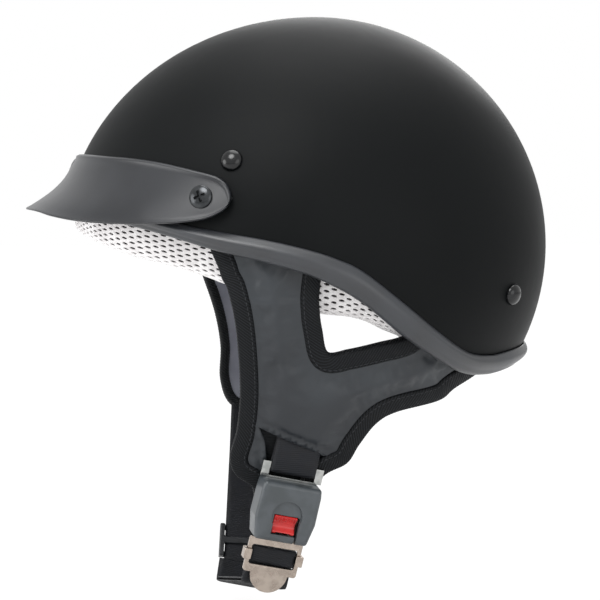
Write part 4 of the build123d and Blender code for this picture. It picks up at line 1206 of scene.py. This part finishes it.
walls = node(spacerMesh, "GeometryNodeExtrudeMesh", {"mode": "EDGES"},
             {"Mesh": rounded.outputs[0], "Selection": rim.outputs[0],
              "Offset": node(spacerMesh, "GeometryNodeInputNormal").outputs[0],
              "Offset Scale": depth.outputs[0]})
endTree(spacerMesh, walls.outputs[0], given["material"])


def makeRoll(settings):
    _, length = evenAngles(8, settings["middle"])
    count = 2 * round(length / settings["holePitch"])
    angles, _ = evenAngles(count, settings["middle"])
    rows = settings["rows"]
    ends = [(heightAt(rimTop, angle, rollMiddle(angle)) + settings["topLift"],
             heightAt(rollLow, angle, rollMiddle(angle))) for angle in angles]
    spots, index = [], {}
    for i in range(count):
        for j in range(rows + 1):
            if (i + j) % 2:
                index[(i, j)] = len(spots)
                spots.append(rollPoint(angles[i], ends[i], j / rows))
    faces = []
    for i in range(count):
        for j in range(1, rows):
            if (i + j) % 2 == 0:
                faces.append((index[((i - 1) % count, j)], index[(i, j + 1)],
                              index[((i + 1) % count, j)], index[(i, j - 1)]))
    net = newPiece("rollNet", meshFrom("rollNet", spots, faces), whiteNet)
    net = runTree(net, spacerMesh, holeShare=settings["holeShare"], wallDepth=settings["netGap"],
                  material=whiteNet)
    sections = [[rollPoint(angle, end, k / rows, settings["netGap"]) for k in range(rows + 1)]
                for angle, end in zip(angles, ends)]
    core = newPiece("linerRoll", rings("linerRoll", sections, closedPath=True), netCore)
    return joined(core, net)


roll = makeRoll(rollSettings)
standIn(roll, "helmet", "mesh_fabric", "liner_roll")
print("roll", len(roll.data.polygons), "faces")

# mesh that lines the dome, over the comfort foam
linerSettings = {
    "inset": 31.3 * mm,
    "wall": 1.2 * mm,
    "around": 120,
    "rows": 44,
    "tuck": 3.0 * mm,
    "spare": 0.02,  # share of a row that the last one is given, to close the crown
    "stretch": (1.1, 1.05),  # of the drawn holes, around and up
}


def makeLiner(settings):
    spots, uvs, faces = [], [], []
    around, rows = settings["around"], settings["rows"]
    height = dome["height"] - settings["inset"]
    girth = 2 * math.pi * (dome["halfWidth"] - settings["inset"]) * settings["stretch"][0]
    size = around + 1
    for shell in range(2):
        inset = settings["inset"] + shell * settings["wall"]
        for j in range(rows + 1):
            for i in range(size):
                angle = 2 * math.pi * (i % around) / around
                foot = heightAt(rimTop, angle, inset) + settings["tuck"]
                low = math.asin(max(-1.0, min(1.0, foot / height)))
                tilt = low + (0.5 * math.pi - low) * min(1, j / (rows - settings["spare"]))
                spots.append(domePoint(angle, (dome["height"] - inset) * math.sin(tilt), inset))
                uvs.append((girth * i / around, height * tilt * settings["stretch"][1]))
    for shell in range(2):
        base = shell * size * (rows + 1)
        for j in range(rows):
            for i in range(around):
                a = base + j * size + i
                quad = (a, a + 1, a + size + 1, a + size)
                faces.append(quad[::-1] if shell else quad)
    drop = size * (rows + 1)
    faces += [(i, i + drop, i + 1 + drop, i + 1) for i in range(around)]
    return newPiece("meshLiner", outward(meshFrom("meshLiner", spots, faces, uvs), merge=1e-5), domeNet)


liner = makeLiner(linerSettings)
standIn(liner, "helmet", "mesh_fabric", "mesh_liner")
linerArea = sum(face.area for face in liner.data.polygons) / 2
# half the summed area of its faces, as it has two walls; its petals add up to half an ellipsoid of the inner
# dome's size
print("liner area", round(linerArea, 4), "square metres")

# webbing
webbingSettings = {
    "width": 25.4 * mm,
    "thickness": 1.6 * mm,
    "step": 0.28 * mm,
    "ribPitch": 1.1 * mm,
    "ribDepth": 0.07 * mm,
    "ribSlant": 0.12,
    "across": 12,
    "edgeShape": 14,  # the higher, the squarer its edges
    "edgeShare": 0.35,  # of its thickness, what is left at the very edge
}


def makeWebbing(name, points, across, settings, thickness=None):
    thick = (thickness or settings["thickness"]) - 2 * settings["ribDepth"]
    path = evenly(points, settings["step"])
    half, count, least = 0.5 * settings["width"], settings["across"], settings["edgeShare"]
    sections, uvRows = [], []
    for i, p in enumerate(path):
        run = (path[min(i + 1, len(path) - 1)] - path[max(i - 1, 0)]).normalized()
        side = (across - run * across.dot(run)).normalized()
        up = run.cross(side)
        at = i * settings["step"]
        section, row = [], []
        for face in (1, -1):
            for k in range(count + 1):
                s = (2 * k / count - 1) * face
                edge = math.sqrt(max(0.0, 1 - abs(s) ** settings["edgeShape"]))
                height = (0.5 * thick + ribRise(at, s * half, settings)) * (least + (1 - least) * edge)
                section.append(p + side * s * half + up * (face * height))
                row.append((at, s * half))
        sections.append(section)
        uvRows.append(row)
    piece = newPiece(name, rings(name, sections, uvRows=uvRows), webbing)
    print(name, "length", round(len(path) * settings["step"] / mm), "mm")
    return piece


def dressed(piece, replaced):
    standIn(piece, "helmet", "webbing", replaced)


# The buckle's own plane: across it, up its axis, and out of its face.
buckleOrigin = Vector((-23.0, -61.985, -142.945)) * mm
buckleAcross = Vector((0.961578, 0.181595, -0.205888))
buckleUp = Vector((0.226648, -0.101931, 0.968628))
buckleOut = Vector((0.154912, -0.978076, -0.139173))


def onBuckle(u, v, w):
    return buckleOrigin + (buckleAcross * u + buckleUp * v + buckleOut * w) * mm


# release button: hollowed for the thumb, ribbed above, with a lip that ends in two feet
buttonFace = [  # place along the buckle's axis and out of its back, in millimetres
    (-1.5, 13.2), (-2.0, 13.7), (-3.2, 13.1), (-4.7, 12.3), (-6.4, 11.8), (-8.0, 12.0), (-9.2, 12.8),
    (-10.2, 13.7), (-10.9, 13.9), (-11.5, 13.5), (-11.9, 12.6)]
buttonSettings = {
    "half": 6.5,
    "base": 10.65,
    "flange": 1.0,
    "flangeTop": 11.15,
    "edge": 0.6,  # rounding at both sides
    "ribPitch": 1.6,
    "ribDepth": 0.2,
    "ribSpan": (-5.6, -1.6),  # along the button, from its lower to its upper end
    "ribFade": (1.5, 0.6),  # over how much they run out there
    "footReach": 4.2,
    "footDrop": 0.7,
    "footStart": (-10.6, 1.2),  # where along the button the feet part, and over how much
    "across": 64,
}


def makeButton(settings):
    face = catmull([Vector(p) for p in buttonFace], 4)
    half, edge, base = settings["half"], settings["edge"], settings["base"]
    (low, _), (top, _) = buttonFace[-1], buttonFace[0]
    (ribLow, ribTop), (fadeLow, fadeTop) = settings["ribSpan"], settings["ribFade"]
    footTop, footFade = settings["footStart"]
    sections = []
    for k in range(settings["across"] + 1):
        u = half * (2 * k / settings["across"] - 1)
        past = max(0.0, abs(u) - half + edge) / edge
        sink = edge * (1 - math.sqrt(max(0.0, 1 - past * past)))
        section = []
        for v, w in face:
            ribs = smoothStep((v - ribLow) / fadeLow) * smoothStep((ribTop - v) / fadeTop)
            w += settings["ribDepth"] * ribs * math.cos(2 * math.pi * u / settings["ribPitch"])
            foot = smoothStep((footTop - v) / footFade) * (abs(u) < settings["footReach"])
            section.append(onBuckle(u, v + settings["footDrop"] * foot, w - sink))
        sections.append(section + [onBuckle(u, low, base), onBuckle(u, top, base)])
    button = newPiece("redButton", rings("redButton", sections), redPlastic)
    corners = [(low, base), (top, base), (top, settings["flangeTop"]), (low, settings["flangeTop"])]
    ends = [[onBuckle(u, v, w) for v, w in corners] for u in (-half - settings["flange"], -half)]
    return joined(button, newPiece("flange", rings("flange", ends), redPlastic, smooth=False))


button = makeButton(buttonSettings)
standIn(button, "release_button", "red_plastic", "release_button")

# left webbing: out of the panel's pocket, round the frame's bar and back inside
leftRoute = [(48, 4.0), (40, 3.4), (33, 4.7), (27, 5.25), (20.45, 5.25), (20.45, 1.05), (27, 1.05), (40, 0.6)]
leftWebbing = makeWebbing("leftBuckleWebbing", roundedPath(
    [onBuckle(0, v, w) for v, w in leftRoute], [8 * mm, 9 * mm, 9 * mm, 1.4 * mm, 1.4 * mm, 9 * mm]),
    buckleAcross, webbingSettings)
dressed(leftWebbing, "left_buckle_strap")

# right webbing, from the panel down to the slider
rightTop, rightLow = Vector((-33.2, 70.4, -98.0)) * mm, Vector((-39.23, 36.1, -190.79)) * mm
sliderRun = Vector((0.064947, 0.364877, 0.928788))  # straight for as far as the slider goes
rightRoute = roundedPath([rightTop, rightLow + sliderRun * 72 * mm, rightLow], [200 * mm])
rightWebbing = makeWebbing("rightWebbing", rightRoute, Vector((-0.99756, 0, 0.069756)), webbingSettings)
dressed(rightWebbing, "right_webbing")

# chin strap: doubled from the slider to its loop round the lock bar
chinOrigin = Vector((-31.05, -59.0, -177.91)) * mm
chinUp = Vector((0.2071, 0.0181, 0.9781))
chinOut = Vector((0.0872, -0.9962, 0.0))
chinAcross = Vector((0.9744, 0.0853, -0.2079))
layer = 0.86  # half the distance between its two layers, in millimetres


def onChin(up, out):
    return chinOrigin + (chinUp * up + chinOut * out) * mm


outerRoute = [onChin(2.0, layer), onChin(-8.8, layer), onChin(-25.6, -91.3), onChin(-12.9, -96.2)]
innerRoute = [onChin(2.0, -layer), onChin(-7.2, -layer - 0.3), onChin(-23.4, -89.9), onChin(-12.9, -94.5)]
loopRoute = [(-33.5, 1.7), (-31.6, 2.4), (-31.4, 5.1), (-27.1, 5.25), (-22.9, 5.1), (-22.9, 0.6),
             (-26.0, -0.1), (-33.5, -0.1)]
chinPath = (roundedPath(outerRoute, [5 * mm, 4 * mm])[::-1] + [onBuckle(0, v, w) for v, w in loopRoute]
            + roundedPath(innerRoute, [4 * mm, 3 * mm]))
chinPath = roundedPath(chinPath, [1.5 * mm] * (len(chinPath) - 2), steps=2)
chinWebbing = makeWebbing("chinWebbing", chinPath, chinAcross, webbingSettings, thickness=1.5 * mm)
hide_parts("chin_strap")
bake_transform(chinWebbing)

# inner straps, from the rivets down between the panels' leather and foam
innerStraps = {  # rivet and lower end in side view, in shares of reach and height, then of the half width
    "front": ((-0.358, 0.362), (-0.300, 0.060), (-0.212, -0.750)),
    "rear": ((0.778, -0.195), (0.600, -0.580), (0.110, -0.755)),
}
innerStrapSettings = {
    "width": 25.4 * mm,
    "wall": 1.6 * mm,
    "skinDepth": 3.8 * mm,
    "panelDepth": 0.9 * mm,
    "step": 1.6 * mm,
    "across": 12,
}


def strapSpot(x, z, side, depth):
    settings = innerStrapSettings
    sheet = funnelPoint(x, z, side, settings["panelDepth"] + depth)
    inset = settings["skinDepth"] + depth
    rest = 1 - (x / (endReach(x) - inset)) ** 2 - (z / (dome["height"] - inset)) ** 2
    skin = (dome["halfWidth"] - inset) * math.sqrt(max(0.0, rest))
    y = min(abs(sheet.y), skin) if skin > 0 else abs(sheet.y)
    return Vector((x, side * y, z))


def makeInnerStrap(name, places, side):
    settings = innerStrapSettings
    width, across = settings["width"], settings["across"]
    half = across // 2
    (rivetX, rivetZ), *rest = places
    line = [Vector((reachOf(rivetX), rivetZ * dome["height"]))] + sidePoints(rest)
    path = evenly(line, settings["step"])
    sections, uvRows = [], []
    for i, p in enumerate(path):
        run = (path[min(i + 1, len(path) - 1)] - path[max(i - 1, 0)]).normalized()
        over = Vector((-run.y, run.x))
        spread = width  # in side view: narrower where the shell turns, so that the webbing stays true
        for _ in range(4):
            edges = [p + over * (0.5 * hand * spread) for hand in (-1, 1)]
            low, high = [strapSpot(q.x, q.y, side, 0.0) for q in edges]
            spread *= width / (high - low).length
        section, row = [], []
        for depth, order in ((0.0, range(-half, half + 1)), (settings["wall"], range(half, -half - 1, -1))):
            for k in order:
                q = p + over * (k / across * spread)
                section.append(strapSpot(q.x, q.y, side, depth))
                row.append((i * settings["step"], k / across * width))
        sections.append(section)
        uvRows.append(row)
    centres = [0.5 * (section[half] + section[across + 1 + half]) for section in sections]
    print(name, "length", round(runningLengths(centres)[-1] / mm), "mm")
    return newPiece(name, rings(name, sections, uvRows=uvRows), webbing)


for side, word in bothSides:
    for place, points in innerStraps.items():
        strap = makeInnerStrap(word + place.capitalize() + "Strap", points, side)
        dressed(strap, f"{word}_{place}_strap")
print("webbing made")

# stage and light
bpy.context.scene.view_settings.view_transform = "Standard"
stageSettings = {"floorGap": 4 * mm, "floorGlow": 0.92, "white": 1.06, "fill": 0.5, "size": 8.0}


def makeStage(settings):
    floorFinish = finish("palePaper", "#f2f2f2", "#f6f6f6", 0.4, (0.85, 0.95), 5 * mm, 0.1 * mm)
    tree, shader = nodesOf(floorFinish)
    glow = node(tree, "ShaderNodeEmission", {}, {"Color": (1, 1, 1, 1), "Strength": settings["white"]})
    path = node(tree, "ShaderNodeLightPath")
    share = node(tree, "ShaderNodeMath", {"operation": "MULTIPLY"},
                 {0: path.outputs["Is Camera Ray"], 1: settings["floorGlow"]})
    mixed = node(tree, "ShaderNodeMixShader", {},
                 {0: share.outputs[0], 1: shader.outputs[0], 2: glow.outputs[0]})
    tree.links.new(mixed.outputs[0], tree.nodes["Material Output"].inputs["Surface"])
    low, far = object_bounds()[0].z - settings["floorGap"], settings["size"]
    mesh = meshFrom("paleFloor", [(-far, -far, low), (far, -far, low), (far, far, low), (-far, far, low)],
                    [(0, 1, 2, 3)])
    newPiece("paleFloor", mesh, floorFinish, smooth=False)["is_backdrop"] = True
    world = bpy.data.worlds.new("studio")
    bpy.context.scene.world = world
    world.use_nodes = True
    tree = world.node_tree
    path = node(tree, "ShaderNodeLightPath")
    seen = node(tree, "ShaderNodeMath", {"operation": "MAXIMUM"},
                {0: path.outputs["Is Camera Ray"], 1: path.outputs["Is Glossy Ray"]})
    seen = node(tree, "ShaderNodeMath", {"operation": "MAXIMUM"},
                {0: seen.outputs[0], 1: path.outputs["Is Transmission Ray"]})
    strength = node(tree, "ShaderNodeMapRange", {}, {0: seen.outputs[0], 3: settings["fill"], 4: 1.0})
    tree.nodes["Background"].inputs["Color"].default_value = (1, 1, 1, 1)
    tree.links.new(strength.outputs[0], tree.nodes["Background"].inputs["Strength"])


lampAim = Vector((0, 0, -0.03))
lamps = {  # name: place, size, watts
    "key": ((-0.6, -1.1, 1.35), 0.9, 20),
    "top": ((0.1, 0.2, 1.6), 1.4, 14),
    "fill": ((0.9, -1.5, 0.1), 1.4, 7),
    "front": ((-1.6, -0.5, 0.2), 0.9, 8),
    "back": ((0.4, 1.5, 0.9), 1.2, 12),
}


def makeLamps():
    for name, (place, size, watts) in lamps.items():
        data = bpy.data.lights.new(name, "AREA")
        data.shape, data.size, data.energy = "DISK", size, watts
        lamp = linked(name, data)
        lamp.location = place
        lamp.rotation_euler = (Vector(place) - lampAim).to_track_quat("Z", "Y").to_euler()


makeStage(stageSettings)
makeLamps()
